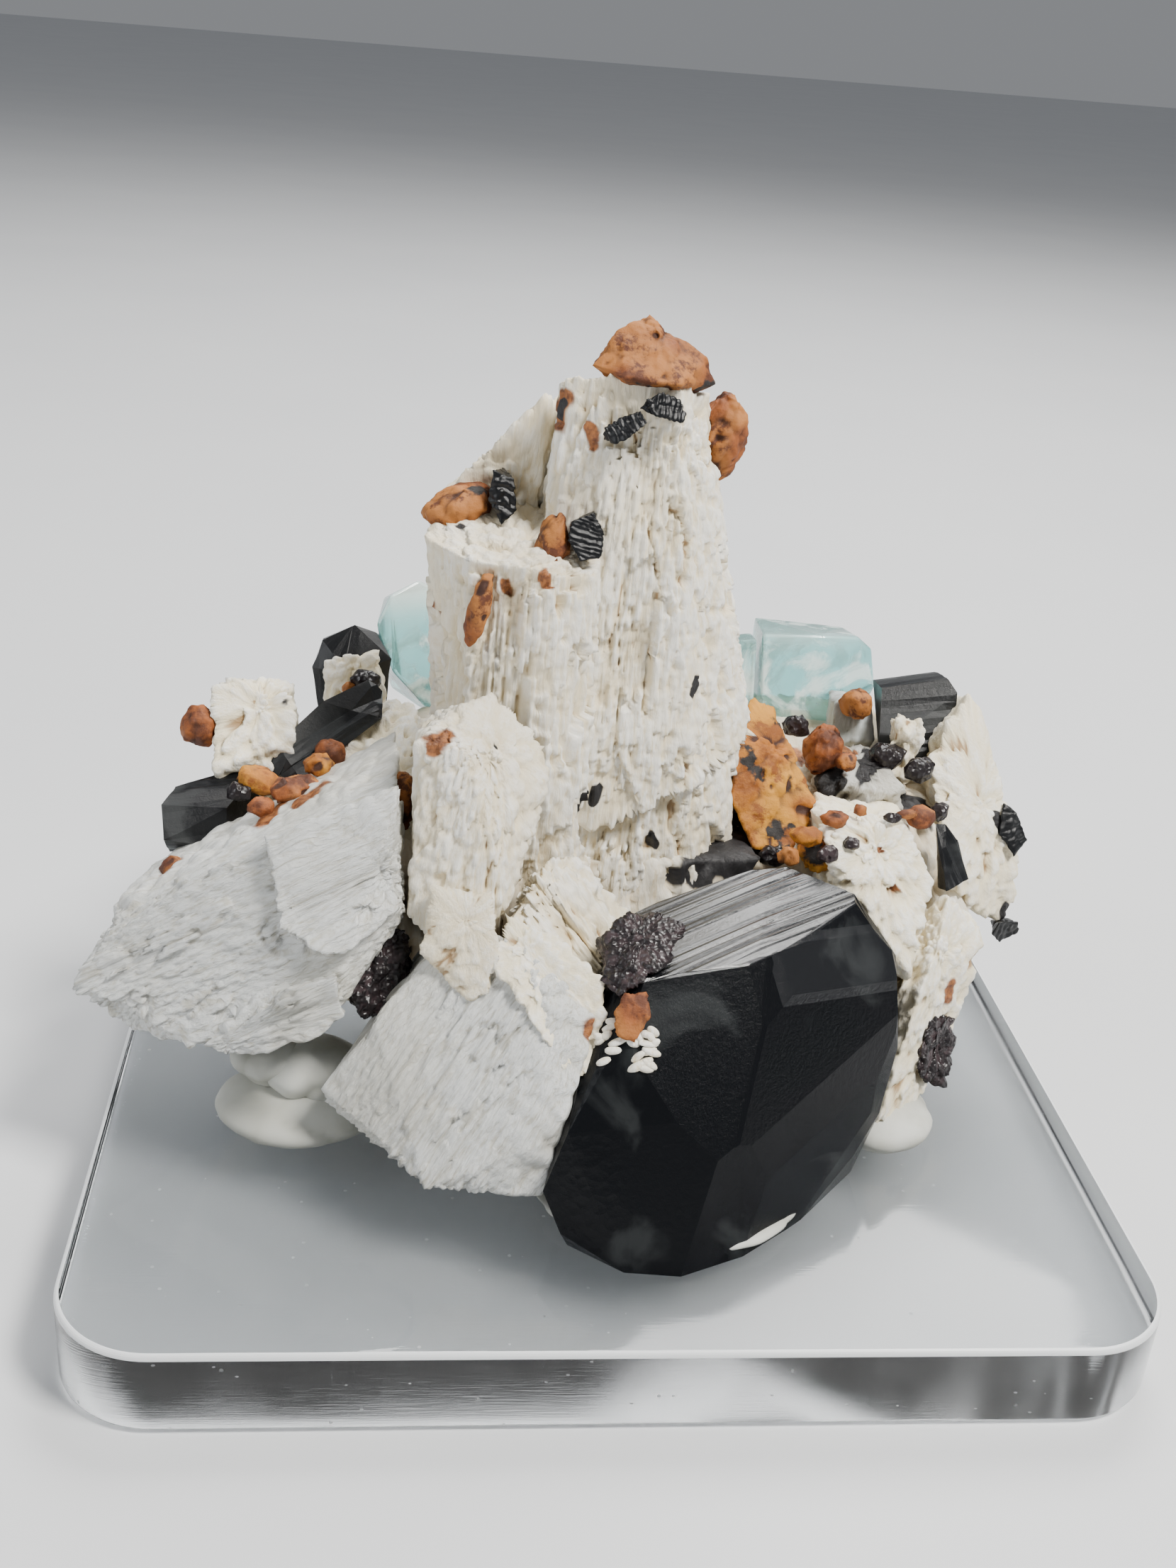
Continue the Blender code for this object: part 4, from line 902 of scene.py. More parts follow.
def cells(u, v, size, seed):
    """Cells around random points: distance to the border, and the cell's coordinates.

    Each square of the given size holds one random point, and a place belongs to the
    nearest. The border is where the two nearest are equally far.
    """
    x, y = u / size, v / size
    base_x, base_y = np.floor(x), np.floor(y)
    nearest = np.full(x.shape, 9.0)
    second = np.full(x.shape, 9.0)
    cell_x, cell_y = base_x.copy(), base_y.copy()
    for step_x, step_y in np.ndindex(3, 3):
        place_x, place_y = base_x + step_x - 1, base_y + step_y - 1
        seed_x = place_x + lattice(place_x, place_y, 0, seed)
        seed_y = place_y + lattice(place_x, place_y, 1, seed)
        gap = np.hypot(x - seed_x, y - seed_y)
        closer = gap < nearest
        second = np.where(closer, nearest, np.minimum(second, gap))
        cell_x = np.where(closer, place_x, cell_x)
        cell_y = np.where(closer, place_y, cell_y)
        nearest = np.minimum(nearest, gap)
    return (second - nearest) * size, cell_x, cell_y


def mark_stains_and_shadows(marks, points, local, stains_and_shadows, seed):
    """Raise the marks near stains and painted shadows, with a ragged edge.

    Each has two ends, a radius and the mark that it raises.
    """
    ragged = noise(local, (0.7, 0.7, 1.6), seed)
    for start, end, radius, kind in stains_and_shadows:
        start, line = np.array(start), np.array(end) - np.array(start)
        share = np.clip((points - start) @ line / max(line @ line, 0.01), 0, 1)
        gap = np.linalg.norm(points - start - share[..., None] * line, axis=-1) / radius
        marks[..., kind] = np.maximum(marks[..., kind], np.clip(1.7 - gap - 0.9 * ragged, 0, 1))
    return marks


def fibrous(fibre, deep, step, lumps, seed, bumpy=None, stains_and_shadows=()):
    """Relief of a bundle of fibres along the third local direction.

    Grooves lie between fibres. Each fibre is broken into lengths of different depth, and
    bundles of fibres into longer ones, whose ends follow their fibres. Cracks run between
    some bundles, and the ends of the crystal are jagged. Bumpy gives a direction: faces
    that look that way are covered in round knobs instead.
    """
    def relief(points, local, rays, ends):
        u, v, w = np.moveaxis(local, -1, 0)
        sway = 0.9 * fibre * (noise(local, (9 * fibre, 9 * fibre, 22 * fibre), seed) - 0.5)
        border, cell_x, cell_y = cells(u + sway, v - sway, fibre, seed)
        groove = np.clip(1 - border / (0.45 * fibre), 0, 1) ** 1.3
        lot = lattice(cell_x, cell_y, 3, seed)
        own = lattice(cell_x, cell_y, np.floor(w / (4.2 * fibre) + 9 * lot), seed + 1)
        edge, bundle_x, bundle_y = cells(u + 2 * sway, v, 5.5 * fibre, seed + 2)
        share = lattice(bundle_x, bundle_y, 4, seed)
        end = (w + 5 * fibre * (lot - 0.5)) / (12 * fibre) + 7 * share
        level = lattice(bundle_x, bundle_y, np.floor(end), seed + 3)
        broad = noise(points, 7.0, seed + 4)
        holes = np.clip((noise(local, (0.9, 0.9, 1.3), seed + 5) - 0.74) * 7, 0, 1)
        crumbly = blobs(local / (1.0, 1.0, 1.7), 0.62, seed + 7) ** 2
        crack = np.clip(1 - edge / 0.12, 0, 1) * (noise(local, (2.5, 2.5, 5.0), seed + 9) > 0.55)
        depth = (deep * (0.5 * groove + 0.6 * own ** 2 + 0.25 * lot + 0.55 * crumbly)
                 + step * level ** 2 + lumps * broad + 0.8 * deep * holes + 0.35 * crack)
        # The hollow mark, cream to dark in the looks, follows grooves, deep fibre ends, holes and
        # cracks: partly the stone's own staining and partly painted shade.
        hollow_tint_and_shade = np.clip(0.2 * groove + 0.35 * own ** 2 + 0.25 * level ** 2 + 0.35 * crumbly
                         + 0.3 * holes + 0.6 * crack, 0, 1)
        share = np.clip((ends - 0.6) * 5, 0, 1)
        if bumpy is not None:
            toward = rays @ np.array(Vector(bumpy).normalized())
            share = np.maximum(share, np.clip((toward - 0.4) * 6, 0, 1))
        knobs = blobs(points, 1.5, seed + 6) ** 2
        small = blobs(points, 0.62, seed + 10) ** 2
        crust = 0.75 * knobs + 0.4 * small + lumps * broad + 0.5 * step * level ** 2
        depth = depth * (1 - share) + crust * share
        hollow_tint_and_shade = hollow_tint_and_shade * (1 - share) + (0.36 + 0.35 * knobs + 0.3 * small * knobs) * share
        marks = np.stack([hollow_tint_and_shade, 0 * hollow_tint_and_shade, 0 * hollow_tint_and_shade], -1)
        return depth, mark_stains_and_shadows(marks, points, local, stains_and_shadows, seed + 8)
    return relief


def knobbly(size, deep, lumps, seed, stains_and_shadows=()):
    """Relief of crumbly broken feldspar: round knobs with smaller grains on them.

    The knobs have the given size, the grains two fifths of it, and both stand on a
    gently lumpy face with scattered holes.
    """
    def relief(points, local, rays, ends):
        knobs = blobs(points, size, seed) ** 2
        small = blobs(points, 0.42 * size, seed + 1) ** 2
        broad = noise(points, 5.0, seed + 2)
        holes = np.clip((noise(points, 1.3, seed + 3) - 0.7) * 7, 0, 1)
        depth = deep * (1.5 * knobs + 0.9 * small + 1.35 * holes) + lumps * broad
        # The hollow mark follows the creases between knobs and the holes: partly the stone's own
        # staining and partly painted shade.
        hollow_tint_and_shade = np.clip(0.22 + 0.5 * knobs + 0.4 * small + 0.4 * holes, 0, 1)
        marks = np.stack([hollow_tint_and_shade, 0 * hollow_tint_and_shade, 0 * hollow_tint_and_shade], -1)
        return depth, mark_stains_and_shadows(marks, points, local, stains_and_shadows, seed + 8)
    return relief


def fine_fibre_group():
    """Node group: height of fine fibres, from the place along and across them.

    Noise of the fibres' width, drawn out along them by one over the length share.
    """
    group = bpy.data.node_groups.new("fine_fibres", "ShaderNodeTree")
    group.interface.new_socket("Fibre", in_out="INPUT", socket_type="NodeSocketVector")
    group.interface.new_socket("Width", in_out="INPUT", socket_type="NodeSocketFloat")
    group.interface.new_socket("Length share", in_out="INPUT", socket_type="NodeSocketFloat")
    group.interface.new_socket("Height", in_out="OUTPUT", socket_type="NodeSocketFloat")
    source = group.nodes.new("NodeGroupInput")
    result = group.nodes.new("NodeGroupOutput")
    shares = node(group, "CombineXYZ", X=1.0, Y=1.0, Z=source.outputs["Length share"])
    across = node(group, "VectorMath", operation="MULTIPLY")
    group.links.new(source.outputs["Fibre"], across.inputs[0])
    group.links.new(shares.outputs["Vector"], across.inputs[1])
    narrow = maths(group, "DIVIDE", 1.0, source.outputs["Width"])
    streaks = node(group, "TexNoise", Vector=across.outputs[0], Scale=narrow, Detail=5.0,
                   Roughness=0.62)
    group.links.new(streaks.outputs["Fac"], result.inputs["Height"])
    return group


FINE_FIBRES = fine_fibre_group()


def feldspar_look(name, white, cream, hollow_tint_and_shade, cloudy, roughness, width, strength, share=0.14):
    """Feldspar: white crests, and cream fine grooves and hollows, dark where deep: partly its
    own staining and partly painted shade. Rust and black where the marks say so.

    Width is that of its finest fibres and strength how clearly they show. Share is their
    width over their length. Cloudy is the tint of broad patches.
    """
    look, tree, shader, place = new_look(name)
    marks = mark_sockets(tree)
    fibres = tree.nodes.new("ShaderNodeGroup")
    fibres.node_tree = FINE_FIBRES
    along = node(tree, "Attribute", attribute_name="fibre").outputs["Vector"]
    tree.links.new(along, fibres.inputs["Fibre"])
    fibres.inputs["Width"].default_value = width
    fibres.inputs["Length share"].default_value = share
    cloud = node(tree, "TexNoise", Vector=place, Scale=90.0, Detail=5.0).outputs["Fac"]
    grain = node(tree, "TexNoise", Vector=place, Scale=2200.0, Detail=5.0).outputs["Fac"]
    tone = mixed(tree, ramp(tree, cloud, 0.45, 0.72), white, cloudy)
    # Low parts of the fine fibres and the hollow mark turn cream, and deep hollows dark: partly the
    # stone's own staining and partly painted shade.
    tone = mixed(tree, ramp(tree, fibres.outputs["Height"], 0.52, 0.3), tone, cream)
    tone = mixed(tree, ramp(tree, marks["X"], 0.2, 0.7), tone, cream)
    tone = mixed(tree, ramp(tree, marks["X"], 0.72, 1.0), tone, hollow_tint_and_shade)
    stain = mixed(tree, ramp(tree, grain, 0.3, 0.7), (0.12, 0.04, 0.015, 1), (0.36, 0.13, 0.035, 1))
    tone = mixed(tree, ramp(tree, marks["Y"], 0.25, 0.6), tone, stain)
    tone = mixed(tree, ramp(tree, marks["Z"], 0.35, 0.55), tone, (0.015, 0.014, 0.015, 1))
    tree.links.new(tone, shader.inputs["Base Color"])
    shader.inputs["Roughness"].default_value = roughness
    height = maths(tree, "MULTIPLY_ADD", grain, 0.25, fibres.outputs["Height"])
    fine_bumps(tree, shader, height, strength, 0.0003)
    return look


FELDSPAR = feldspar_look("white_feldspar", (0.9, 0.88, 0.81, 1), (0.79, 0.69, 0.49, 1),
                         (0.33, 0.21, 0.1, 1), (0.86, 0.78, 0.6, 1), 0.5, 0.3, 0.6)
KNOBBLY = feldspar_look("knobbly_feldspar", (0.9, 0.89, 0.84, 1), (0.83, 0.74, 0.53, 1),
                        (0.36, 0.23, 0.11, 1), (0.86, 0.77, 0.56, 1), 0.55, 0.34, 0.5, 0.8)
TOWER_AXIS = (0.02, 0.0, 1.0)
TOWER_STAINS = [
    ((-6.4, -2.8, 60.6), (-6.6, -2.6, 58.4), 0.9, RUSTY),
    ((-6.4, -3.0, 60.2), (-6.5, -2.8, 59.2), 0.5, BLACK),
    ((-4.4, -4.4, 58.6), (-4.2, -4.5, 57.4), 0.6, RUSTY),
    ((6.2, -4.3, 44.4), (6.4, -4.4, 42.6), 0.5, BLACK),
    ((6.4, -4.4, 42.6), (7.0, -4.4, 40.8), 0.45, BLACK),
    ((6.4, -4.4, 42.6), (5.4, -6.3, 40.2), 0.4, BLACK),
    ((5.4, -6.3, 40.2), (5.0, -6.6, 38.2), 0.35, BLACK),
    ((-13.1, -2.8, 50.6), (-12.8, -3.4, 50.0), 0.8, BLACK),
    ((-2.6, -6.9, 46.2), (-2.6, -6.9, 45.8), 0.45, BLACK),
    ((-3.8, -7.6, 37.0), (-3.9, -7.6, 35.8), 0.4, BLACK),
    ((-2.0, -7.8, 31.6), (-2.1, -7.8, 30.6), 0.5, BLACK),
    ((3.0, -8.2, 28.4), (3.2, -8.2, 27.6), 0.6, BLACK),
    ((-10.4, -9.2, 42.6), (-10.2, -9.3, 41.6), 0.6, BLACK),
    ((-6.4, -9.4, 49.8), (-6.2, -9.4, 49.0), 0.8, RUSTY),
    ((-9.8, -8.9, 48.9), (-9.6, -9.0, 48.2), 0.6, RUSTY),
    ((-6.8, -9.8, 33.6), (-6.9, -9.8, 32.4), 0.6, BLACK),
    ((-13.5, -5.5, 41.6), (-13.5, -5.6, 40.4), 0.5, BLACK),
    ((-15.0, -4.5, 45.4), (-15.0, -4.6, 43.6), 0.6, RUSTY),
]
COLUMN = [
    (-6.9, -2.4, 61.6), (-6.3, -3.2, 62.2), (-3.0, -4.2, 62.8), (2.2, -4.2, 62.2),
    (4.9, -1.0, 61.0), (5.3, 3.0, 60.0), (1.0, 7.0, 59.0), (-4.5, 6.5, 59.0),
    (11.1, -3.2, 35.0), (11.4, 3.0, 35.5), (7.0, 9.0, 35.0), (-5.0, 10.0, 35.0),
    (-9.0, 4.0, 33.0), (-8.0, -5.2, 30.0), (-2.0, -8.4, 28.0), (5.6, -7.9, 32.0),
]
LOWER_COLUMN = [
    (9.8, -3.0, 37.5), (9.9, 3.0, 37.5), (6.0, 8.5, 37.5), (-5.0, 9.0, 37.5),
    (-8.0, 3.0, 37.5), (-7.0, -5.0, 37.5), (0.0, -6.6, 37.5), (6.0, -6.2, 37.5),
    (10.0, -6.4, 14.0), (11.5, 1.0, 13.0), (8.0, 9.0, 12.0), (-4.0, 10.0, 12.0),
    (-9.0, 3.0, 12.0), (-7.0, -8.0, 13.0), (0.0, -10.4, 14.0), (7.0, -8.8, 20.0),
]
SHORT_COLUMN = [
    (-16.0, -4.0, 50.6), (-12.7, -8.2, 50.1), (-6.4, -9.3, 50.0), (-2.8, -8.2, 49.2),
    (-2.0, -3.0, 49.9), (-4.0, 2.0, 51.5), (-10.6, 2.0, 52.2), (-15.2, 1.0, 51.6),
    (-15.4, -5.2, 42.0), (-15.0, 2.0, 42.0), (-13.6, -7.2, 35.0), (-12.0, -7.0, 20.0),
    (-10.0, -9.5, 18.0), (-3.0, -10.5, 18.0), (0.0, -6.0, 18.0), (-2.0, 3.0, 18.0),
    (-11.0, 3.0, 20.0),
]
BUTTRESS = [
    (-6.8, 0.6, 60.4), (-5.0, 7.0, 59.0), (-8.6, 1.4, 57.2), (-10.3, 2.0, 55.2),
    (-10.5, 7.0, 54.0), (-13.5, 2.0, 52.6), (-14.5, 6.0, 50.5), (-15.2, 1.0, 51.4),
    (-15.0, 7.0, 24.0), (-14.0, 0.0, 24.0), (-5.0, 0.0, 24.0), (-3.0, 9.0, 24.0),
    (-3.0, 8.0, 57.0),
]
# Corners, spacing of the skin's points, and relief
TOWER_BLOCKS = {
    "tower_column": (COLUMN, 0.17, fibrous(0.44, 0.42, 0.8, 0.5, 11, stains_and_shadows=TOWER_STAINS)),
    "tower_foot": (LOWER_COLUMN, 0.19, fibrous(0.42, 0.4, 0.8, 0.5, 13, stains_and_shadows=TOWER_STAINS)),
    "tower_short_column": (SHORT_COLUMN, 0.19, fibrous(0.46, 0.5, 1.2, 0.6, 17, (0, 0.2, 1),
                                                       TOWER_STAINS)),
    "tower_buttress": (BUTTRESS, 0.26, fibrous(0.5, 0.5, 0.9, 0.7, 19, (-0.6, 0.0, 1),
                                               TOWER_STAINS)),
}
for number, (name, (corners, spacing, relief)) in enumerate(TOWER_BLOCKS.items()):
    mesh = crystal(name, form_of(corners), TOWER_AXIS, spacing, relief)
    stood_for = ["feldspar_tower"] if number == 0 else []
    add(name, mesh, FELDSPAR, "white_feldspar", *stood_for)


# Feldspar crystals in front and at the sides.
# The same feldspar in single crystals, each grown in its own direction: fluted stubs
# with knobbly crests, a satin fan with cleavage steps, and knobbly chunks.
def cleaved(fibre, deep, step, seed, bumpy=None, stains_and_shadows=()):
    """Relief of a satin cleavage face along the third local direction.

    Thin plates, longer along the fibres than across them, end in low steps. Very fine
    fibres cover them. Faces that look in the bumpy direction are covered in knobs.
    """
    def relief(points, local, rays, ends):
        u, v, w = np.moveaxis(local, -1, 0)
        border, cell_x, cell_y = cells(u, v, fibre, seed)
        lot = lattice(cell_x, cell_y, 3, seed)
        groove = np.clip(1 - border / (0.5 * fibre), 0, 1)
        plates = (3.2 * noise(local, (4.5, 4.5, 14.0), seed + 2) + 0.5 * lot
                  + 0.7 * noise(local, (1.6, 1.6, 6.0), seed + 3))
        level = np.floor(plates)
        rise = np.clip((plates - level - 0.88) / 0.12, 0, 1)
        dents = noise(points, 3.0, seed + 4)
        crumbly = blobs(local / (1.0, 1.0, 2.5), 0.9, seed + 5) ** 2
        depth = (deep * (0.9 * groove + 0.9 * lot + 0.6 * crumbly) + step * (level + rise) / 5
                 + 0.3 * dents)
        # The hollow mark follows grooves, the risers of the steps and the crumbly dips: partly the
        # stone's own staining and partly painted shade.
        hollow_tint_and_shade = np.clip(0.3 * groove + 0.5 * (1 - np.abs(2 * rise - 1)) + 0.2 * crumbly, 0, 1)
        if bumpy is not None:
            toward = rays @ np.array(Vector(bumpy).normalized())
            share = np.clip((toward - 0.45) * 6, 0, 1)
            knobs = blobs(points, 1.3, seed + 6) ** 2
            depth = depth * (1 - share) + (0.7 * knobs + 0.4 * dents) * share
            hollow_tint_and_shade = hollow_tint_and_shade * (1 - share) + (0.15 + 0.45 * knobs) * share
        marks = np.stack([hollow_tint_and_shade, 0 * hollow_tint_and_shade, 0 * hollow_tint_and_shade], -1)
        return depth, mark_stains_and_shadows(marks, points, local, stains_and_shadows, seed + 8)
    return relief


SATIN = feldspar_look("satin_feldspar", (0.69, 0.7, 0.68, 1), (0.52, 0.5, 0.43, 1),
                      (0.2, 0.17, 0.13, 1), (0.62, 0.61, 0.55, 1), 0.4, 0.26, 0.9)
# Look, direction of the fibres, spacing of the skin's points, and relief
FELDSPAR_CRYSTALS = {
    "feldspar_front_stub": (
        FELDSPAR, (0.02, -0.08, 1.0), 0.19, fibrous(0.55, 0.4, 0.5, 0.4, 23, (0.62, -0.25, 0.7), [
            ((-9.6, -12.9, 38.6), (-9.4, -12.9, 38.2), 0.6, BLACK),
            ((-14.6, -14.0, 38.4), (-13.4, -13.4, 38.6), 1.0, RUSTY)])),
    "feldspar_leaning_stub": (
        FELDSPAR, (0.62, -0.42, -0.66), 0.19, fibrous(0.5, 0.55, 0.9, 0.3, 29)),
    "feldspar_front_fan": (
        SATIN, (-0.5, -0.15, -0.85), 0.19, cleaved(0.42, 0.2, 1.2, 31, (0.9, -0.2, 0.3), [
            ((-2.4, -22.8, 21.2), (-1.6, -23.0, 19.6), 0.9, RUSTY),
            ((-14.8, -20.5, 16.6), (-14.8, -20.5, 16.4), 0.4, BLACK),
            ((-5.6, -19.2, 21.6), (-5.4, -19.4, 21.2), 0.4, BLACK)])),
    "feldspar_left_stub": (
        KNOBBLY, (0.0, 0.1, 1.0), 0.2, knobbly(1.5, 0.6, 0.8, 37, [
            ((-25.0, 4.0, 33.8), (-24.8, 3.8, 33.2), 0.7, BLACK)])),
    "feldspar_left_slope": (
        KNOBBLY, (0.2, -0.8, 0.1), 0.26, knobbly(1.6, 0.6, 0.8, 41)),
    "feldspar_back_chip": (
        KNOBBLY, (0.0, 0.0, 1.0), 0.26, knobbly(1.6, 0.6, 0.8, 43)),
    "feldspar_right_block": (
        KNOBBLY, (0.1, -0.3, 1.0), 0.17, knobbly(1.4, 0.55, 1.0, 47, [
            ((22.0, -9.6, 25.0), (22.2, -9.8, 24.2), 0.7, RUSTY),
            ((20.5, -8.0, 28.8), (20.9, -8.0, 28.2), 0.6, RUSTY)])),
    "feldspar_right_lower": (
        KNOBBLY, (0.15, 0.1, 1.0), 0.2, knobbly(1.5, 0.5, 0.9, 53, [
            ((28.0, -10.5, 17.4), (28.0, -10.7, 16.4), 0.8, RUSTY)])),
    "feldspar_right_slab": (
        KNOBBLY, (0.15, -0.25, 0.95), 0.2, knobbly(1.7, 0.5, 1.0, 59, [
            ((34.2, 1.6, 26.4), (34.4, 1.4, 25.0), 0.9, BLACK),
            ((35.6, -0.6, 18.4), (35.6, -0.8, 17.4), 0.8, BLACK)])),
    "feldspar_right_chip": (
        KNOBBLY, (0.0, 0.0, 1.0), 0.18, knobbly(1.3, 0.5, 0.4, 61)),
    "feldspar_right_blades": (
        SATIN, (0.3, 0.2, 1.0), 0.22, knobbly(1.5, 0.7, 1.0, 67, [
            ((22.0, 2.0, 30.6), (24.4, 5.0, 30.6), 2.6, BLACK),
            ((17.0, -1.0, 30.0), (18.4, 4.0, 30.6), 2.0, BLACK),
            ((19.6, -4.6, 29.6), (23.6, -3.0, 29.6), 1.3, BLACK),
            ((19.6, 4.0, 31.2), (20.4, 6.0, 31.0), 1.4, RUSTY)])),
}
for name, (look, axis, spacing, relief) in FELDSPAR_CRYSTALS.items():
    mesh = crystal(name + "_fibres", form_of(node_points(name)), axis, spacing, relief)
    add(name + "_fibres", mesh, look, "white_feldspar", name)


# Joins between the front crystals.
# The front stub runs down into the fan, whose upper right is crumbly and grown together
# with the leaning stub. A cream chunk sits in front of the black block at the right.
# Corners, look, direction and relief
JOINS = {
    "stub_foot": (
        [(-14.4, -17.2, 29.5), (-9.4, -17.4, 29.5), (-15.0, -18.6, 24.6), (-8.8, -20.0, 24.9),
         (-13.6, -19.6, 22.8), (-11.0, -21.2, 21.2), (-9.4, -21.0, 22.4), (-13.0, -14.0, 27.0),
         (-9.6, -14.0, 27.0), (-11.5, -15.0, 21.5)],
        FELDSPAR, (0.02, -0.2, 1.0), knobbly(0.8, 0.22, 0.8, 141)),
    "fan_crest": (
        [(-9.2, -17.2, 27.8), (-4.4, -18.0, 26.4), (-1.4, -20.6, 24.2), (-0.9, -23.4, 20.6),
         (-2.0, -25.0, 17.6), (-4.6, -24.8, 18.4), (-7.8, -22.6, 21.6), (-10.0, -20.4, 24.0),
         (-6.0, -15.0, 24.0), (-3.0, -16.0, 21.0), (-4.0, -20.0, 17.6)],
        KNOBBLY, (0.62, -0.42, -0.66), knobbly(1.1, 0.4, 0.9, 151)),
    "cream_chunk": (
        [(23.2, 3.6, 31.6), (26.0, 3.8, 31.8), (23.4, 4.0, 34.4), (26.2, 4.2, 34.0), (24.6, 6.6, 33.8),
         (24.8, 2.6, 33.0), (24.6, 6.4, 31.8)],
        KNOBBLY, (0.2, 0.2, 1.0), knobbly(1.0, 0.3, 0.3, 161)),
}
for name, (corners, look, axis, relief) in JOINS.items():
    mesh = crystal(name, form_of(corners), axis, 0.18, relief)
    add(name, mesh, look, "white_feldspar")


# Crumbs beside the knob.
# Small white rice-shaped grains of feldspar, loose in the corner between the fan, the
# knob and the black crystal.
CRUMBS = 40
# Lowest and highest sideways place and height
CRUMB_BOX = ((-4.2, 19.6), (1.7, 21.9))
CRUMB_RADII = (0.66, 0.3, 0.27)


def scattered_crumbs(name, form, box, radii, count, seed):
    """Ellipsoids that lie on a form's front, turned at random, as one mesh.

    Each is a unit ball's rings of points, times the radii, turned about -Y and then set
    where a line along -Y through its place leaves the form.
    """
    random = np.random.RandomState(seed)
    turn = np.linspace(0, 2 * math.pi, 12, endpoint=False)[None, :]
    tilt = np.linspace(-math.pi / 2, math.pi / 2, 9)[1:-1, None]
    ball = np.stack([np.sin(tilt) + 0 * turn, np.cos(tilt) * np.cos(turn),
                     np.cos(tilt) * np.sin(turn)], -1)
    low, high = np.array(box)
    meshes = []
    for number in range(count):
        x, z = random.uniform(low, high)
        size = random.uniform(0.7, 1.25, 3) * radii
        angle = random.normal(0.1, 0.5)
        aside = np.array([math.cos(angle), 0.0, math.sin(angle)])
        above = np.array([-math.sin(angle), 0.0, math.cos(angle)])
        start = np.array([x, -16.0, z])
        depth = reach(form, start, np.array([[0.0, -1.0, 0.0]]))[0]
        rows = (ball * size) @ np.array([aside, (0, 1, 0), above])
        rows = rows + start - np.array([0, depth, 0])
        meshes.append(skin("crumb", rows, marks=0 * rows, fibre=rows))
    joined = bmesh.new()
    for mesh in meshes:
        joined.from_mesh(mesh)
        bpy.data.meshes.remove(mesh)
    made = bpy.data.meshes.new(name)
    joined.to_mesh(made)
    return made


crumbs = scattered_crumbs("white_crumbs", form_of(SCHORL_CORNERS), CRUMB_BOX, CRUMB_RADII,
                          CRUMBS, 7)
add("white_crumbs", crumbs, FELDSPAR, "white_feldspar")


# Left blade.
# The large blade that reaches out to the left, in three overlapping plates. Its front
# is satin, with fine fibres from lower left to upper right, and its top is fluted.
BLADE_AXIS = (0.86, 0.0, 0.5)
BLADE = [
    (-40.4, -12.6, 17.4), (-37.6, -12.0, 22.0), (-31.8, -13.2, 27.0), (-25.9, -14.2, 31.0),
    (-16.0, -14.2, 35.6), (-15.6, -17.2, 26.6), (-19.9, -19.2, 22.6), (-20.1, -19.2, 19.2),
    (-30.7, -17.2, 15.1), (-35.9, -14.0, 13.5), (-37.4, -7.0, 22.0), (-34.7, -4.0, 23.7),
    (-31.1, -3.0, 25.7), (-27.6, -3.0, 27.9), (-24.2, -3.0, 29.8), (-21.6, -2.0, 31.3),
    (-16.8, -1.0, 33.9), (-34.0, -6.0, 15.0), (-28.0, -5.0, 14.5), (-16.0, -4.0, 17.0),
]
BLADE_BLOCK = [
    (-25.9, -14.5, 31.5), (-22.9, -14.7, 33.1), (-16.6, -14.7, 35.6), (-15.6, -18.1, 26.9),
    (-19.2, -20.1, 24.2), (-21.0, -19.9, 24.1), (-25.2, -18.5, 25.0), (-25.1, -17.0, 27.8),
    (-24.0, -10.0, 29.0), (-16.0, -10.0, 32.0), (-16.0, -12.0, 22.0), (-22.0, -14.0, 21.0),
]
BLADE_LEDGE = [
    (-30.8, -17.7, 15.6), (-26.9, -19.6, 19.6), (-24.0, -20.1, 22.8), (-20.1, -20.6, 24.1),
    (-19.3, -21.1, 20.6), (-21.5, -21.1, 18.5), (-24.9, -20.5, 16.1), (-28.5, -19.1, 14.7),
    (-27.0, -13.0, 19.0), (-20.0, -14.0, 22.0), (-20.0, -14.0, 15.5), (-28.0, -13.0, 15.0),
]
BLADE_STAINS = [
    ((-23.6, -8.0, 30.8), (-22.0, -6.0, 31.2), 1.2, RUSTY),
    ((-26.6, -8.4, 29.4), (-25.2, -6.6, 29.6), 0.9, RUSTY),
    ((-33.4, -7.6, 24.6), (-32.4, -7.2, 25.0), 0.8, RUSTY),
    ((-21.7, -20.2, 16.9), (-21.2, -20.6, 16.2), 0.5, BLACK),
    ((-22.6, -20.2, 16.4), (-22.2, -20.2, 16.2), 0.35, BLACK),
]
BLADE_PLATES = {
    "blade_main": BLADE, "blade_upper_plate": BLADE_BLOCK, "blade_lower_plate": BLADE_LEDGE,
}
for number, (name, corners) in enumerate(BLADE_PLATES.items()):
    relief = cleaved(0.42, 0.2, 1.7, 71 + 3 * number, (0.0, 0.9, 0.6), BLADE_STAINS)
    mesh = crystal(name, form_of(corners), BLADE_AXIS, 0.2, relief)
    stood_for = ["feldspar_left_blade"] if number == 0 else []
    add(name, mesh, SATIN, "white_feldspar", *stood_for)


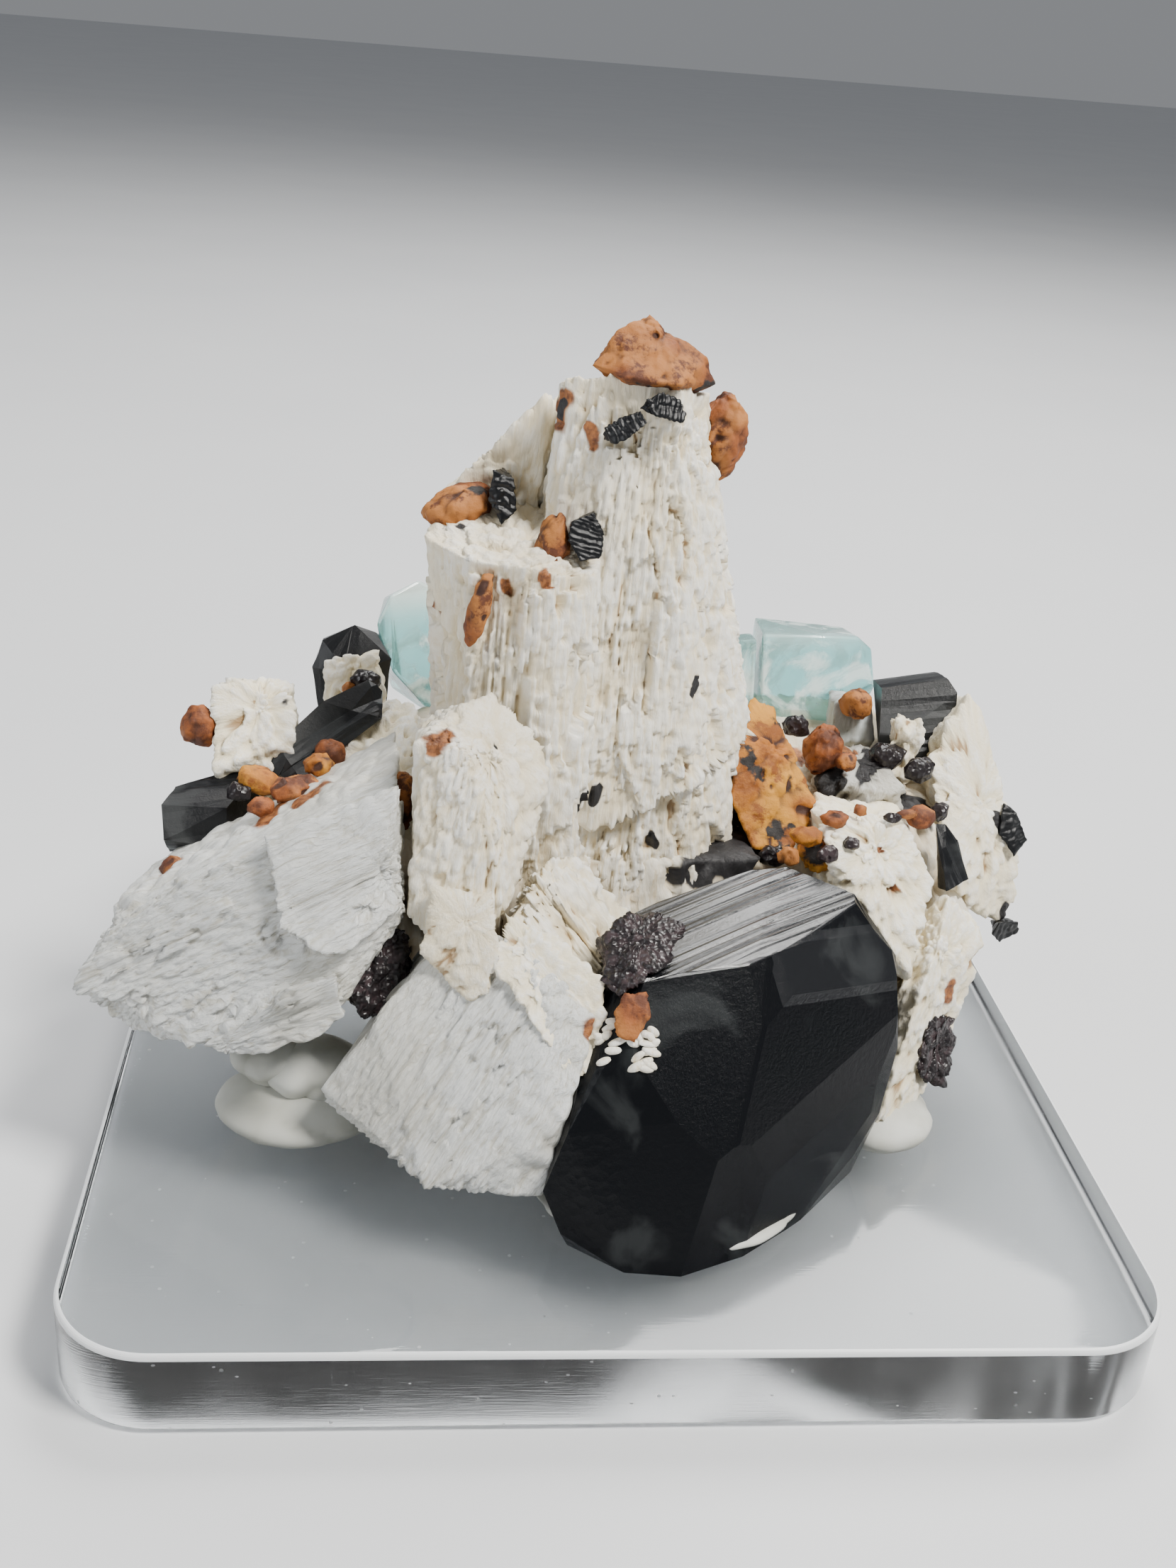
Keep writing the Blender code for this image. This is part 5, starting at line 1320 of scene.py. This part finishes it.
# Matrix and grey crystal.
# Behind and under the crystals lies the feldspar mass that they grew from, coarser and
# creamier. One small crystal at the back right is grey and slightly see-through.
MATRIX_LOOK = feldspar_look("cream_feldspar", (0.78, 0.74, 0.64, 1), (0.62, 0.52, 0.36, 1),
                            (0.16, 0.1, 0.055, 1), (0.66, 0.54, 0.37, 1), 0.6, 0.5, 0.5)
GREY_LOOK = feldspar_look("grey_feldspar", (0.56, 0.6, 0.6, 1), (0.4, 0.42, 0.4, 1),
                          (0.12, 0.12, 0.11, 1), (0.7, 0.72, 0.7, 1), 0.3, 0.4, 0.3)
MATRIX_BLOCKS = [
    [(-30.0, -4.0, 24.0), (-30.0, 6.0, 25.0), (-27.0, 12.0, 26.0), (-14.0, 18.0, 29.0),
     (-6.0, 16.0, 28.0), (-8.0, -6.0, 27.0), (-28.0, -8.0, 17.0), (-26.0, 9.0, 13.0),
     (-6.0, 13.0, 10.0), (-8.0, -9.0, 9.0), (-24.0, -8.0, 13.0)],
    [(-14.0, -10.0, 26.0), (-14.0, 15.0, 29.0), (11.0, 18.0, 29.0), (12.0, -8.0, 27.0),
     (-13.0, -13.0, 9.0), (-12.0, 13.0, 9.0), (10.0, 14.0, 9.0), (10.0, -14.0, 9.0)],
    [(5.0, -7.0, 26.0), (5.0, 17.0, 29.0), (12.0, 19.0, 31.0), (26.0, 19.0, 30.0), (31.0, 10.0, 28.0),
     (33.0, 1.0, 24.0), (31.0, -5.0, 18.0), (27.0, -9.0, 10.0), (8.0, -11.0, 9.0),
     (5.0, 13.0, 9.0), (26.0, 11.0, 10.0), (24.0, -3.0, 28.0)],
]
MATRIX_STAINS_AND_SHADOW = [
    # The first two are painted shadow: black in the gap under the large rusty nodule. The rest are
    # stains.
    ((7.0, -9.0, 26.6), (13.0, -8.0, 27.0), 2.4, BLACK),
    ((10.0, -6.0, 27.4), (13.0, -2.0, 27.6), 2.6, BLACK),
    ((13.0, 7.0, 31.0), (15.0, 9.0, 30.0), 2.2, RUSTY),
    ((19.0, 1.0, 29.0), (21.0, 3.0, 29.0), 1.8, BLACK),
    ((15.0, -3.0, 29.4), (27.0, 1.0, 28.4), 3.2, BLACK),
    ((-21.0, 8.0, 29.0), (-19.0, 8.0, 29.0), 1.8, RUSTY),
    ((-26.0, 10.0, 23.0), (-26.0, 10.0, 21.0), 1.4, BLACK),
    ((10.0, 16.0, 26.0), (10.0, 16.0, 22.0), 2.2, RUSTY),
    ((28.0, 10.0, 22.0), (28.0, 10.0, 18.0), 1.8, RUSTY),
]
for number, corners in enumerate(MATRIX_BLOCKS):
    name = "matrix_block_%d" % (number + 1)
    relief = fibrous(0.9, 0.8, 1.2, 1.2, 81 + 3 * number, (0.0, 0.3, 1.0), MATRIX_STAINS_AND_SHADOW)
    mesh = crystal(name, form_of(corners), (0.0, 0.1, 1.0), 0.38, relief)
    stood_for = ["feldspar_matrix"] if number == 0 else []
    add(name, mesh, MATRIX_LOOK, "white_feldspar", *stood_for)
grey_form = form_of(node_points("feldspar_grey_crystal"))
relief = fibrous(0.6, 0.1, 0.3, 0.3, 97)
mesh = crystal("grey_crystal", grey_form, (0.0, 0.0, 1.0), 0.22, relief)
add("grey_crystal", mesh, GREY_LOOK, "grey_feldspar", "feldspar_grey_crystal")
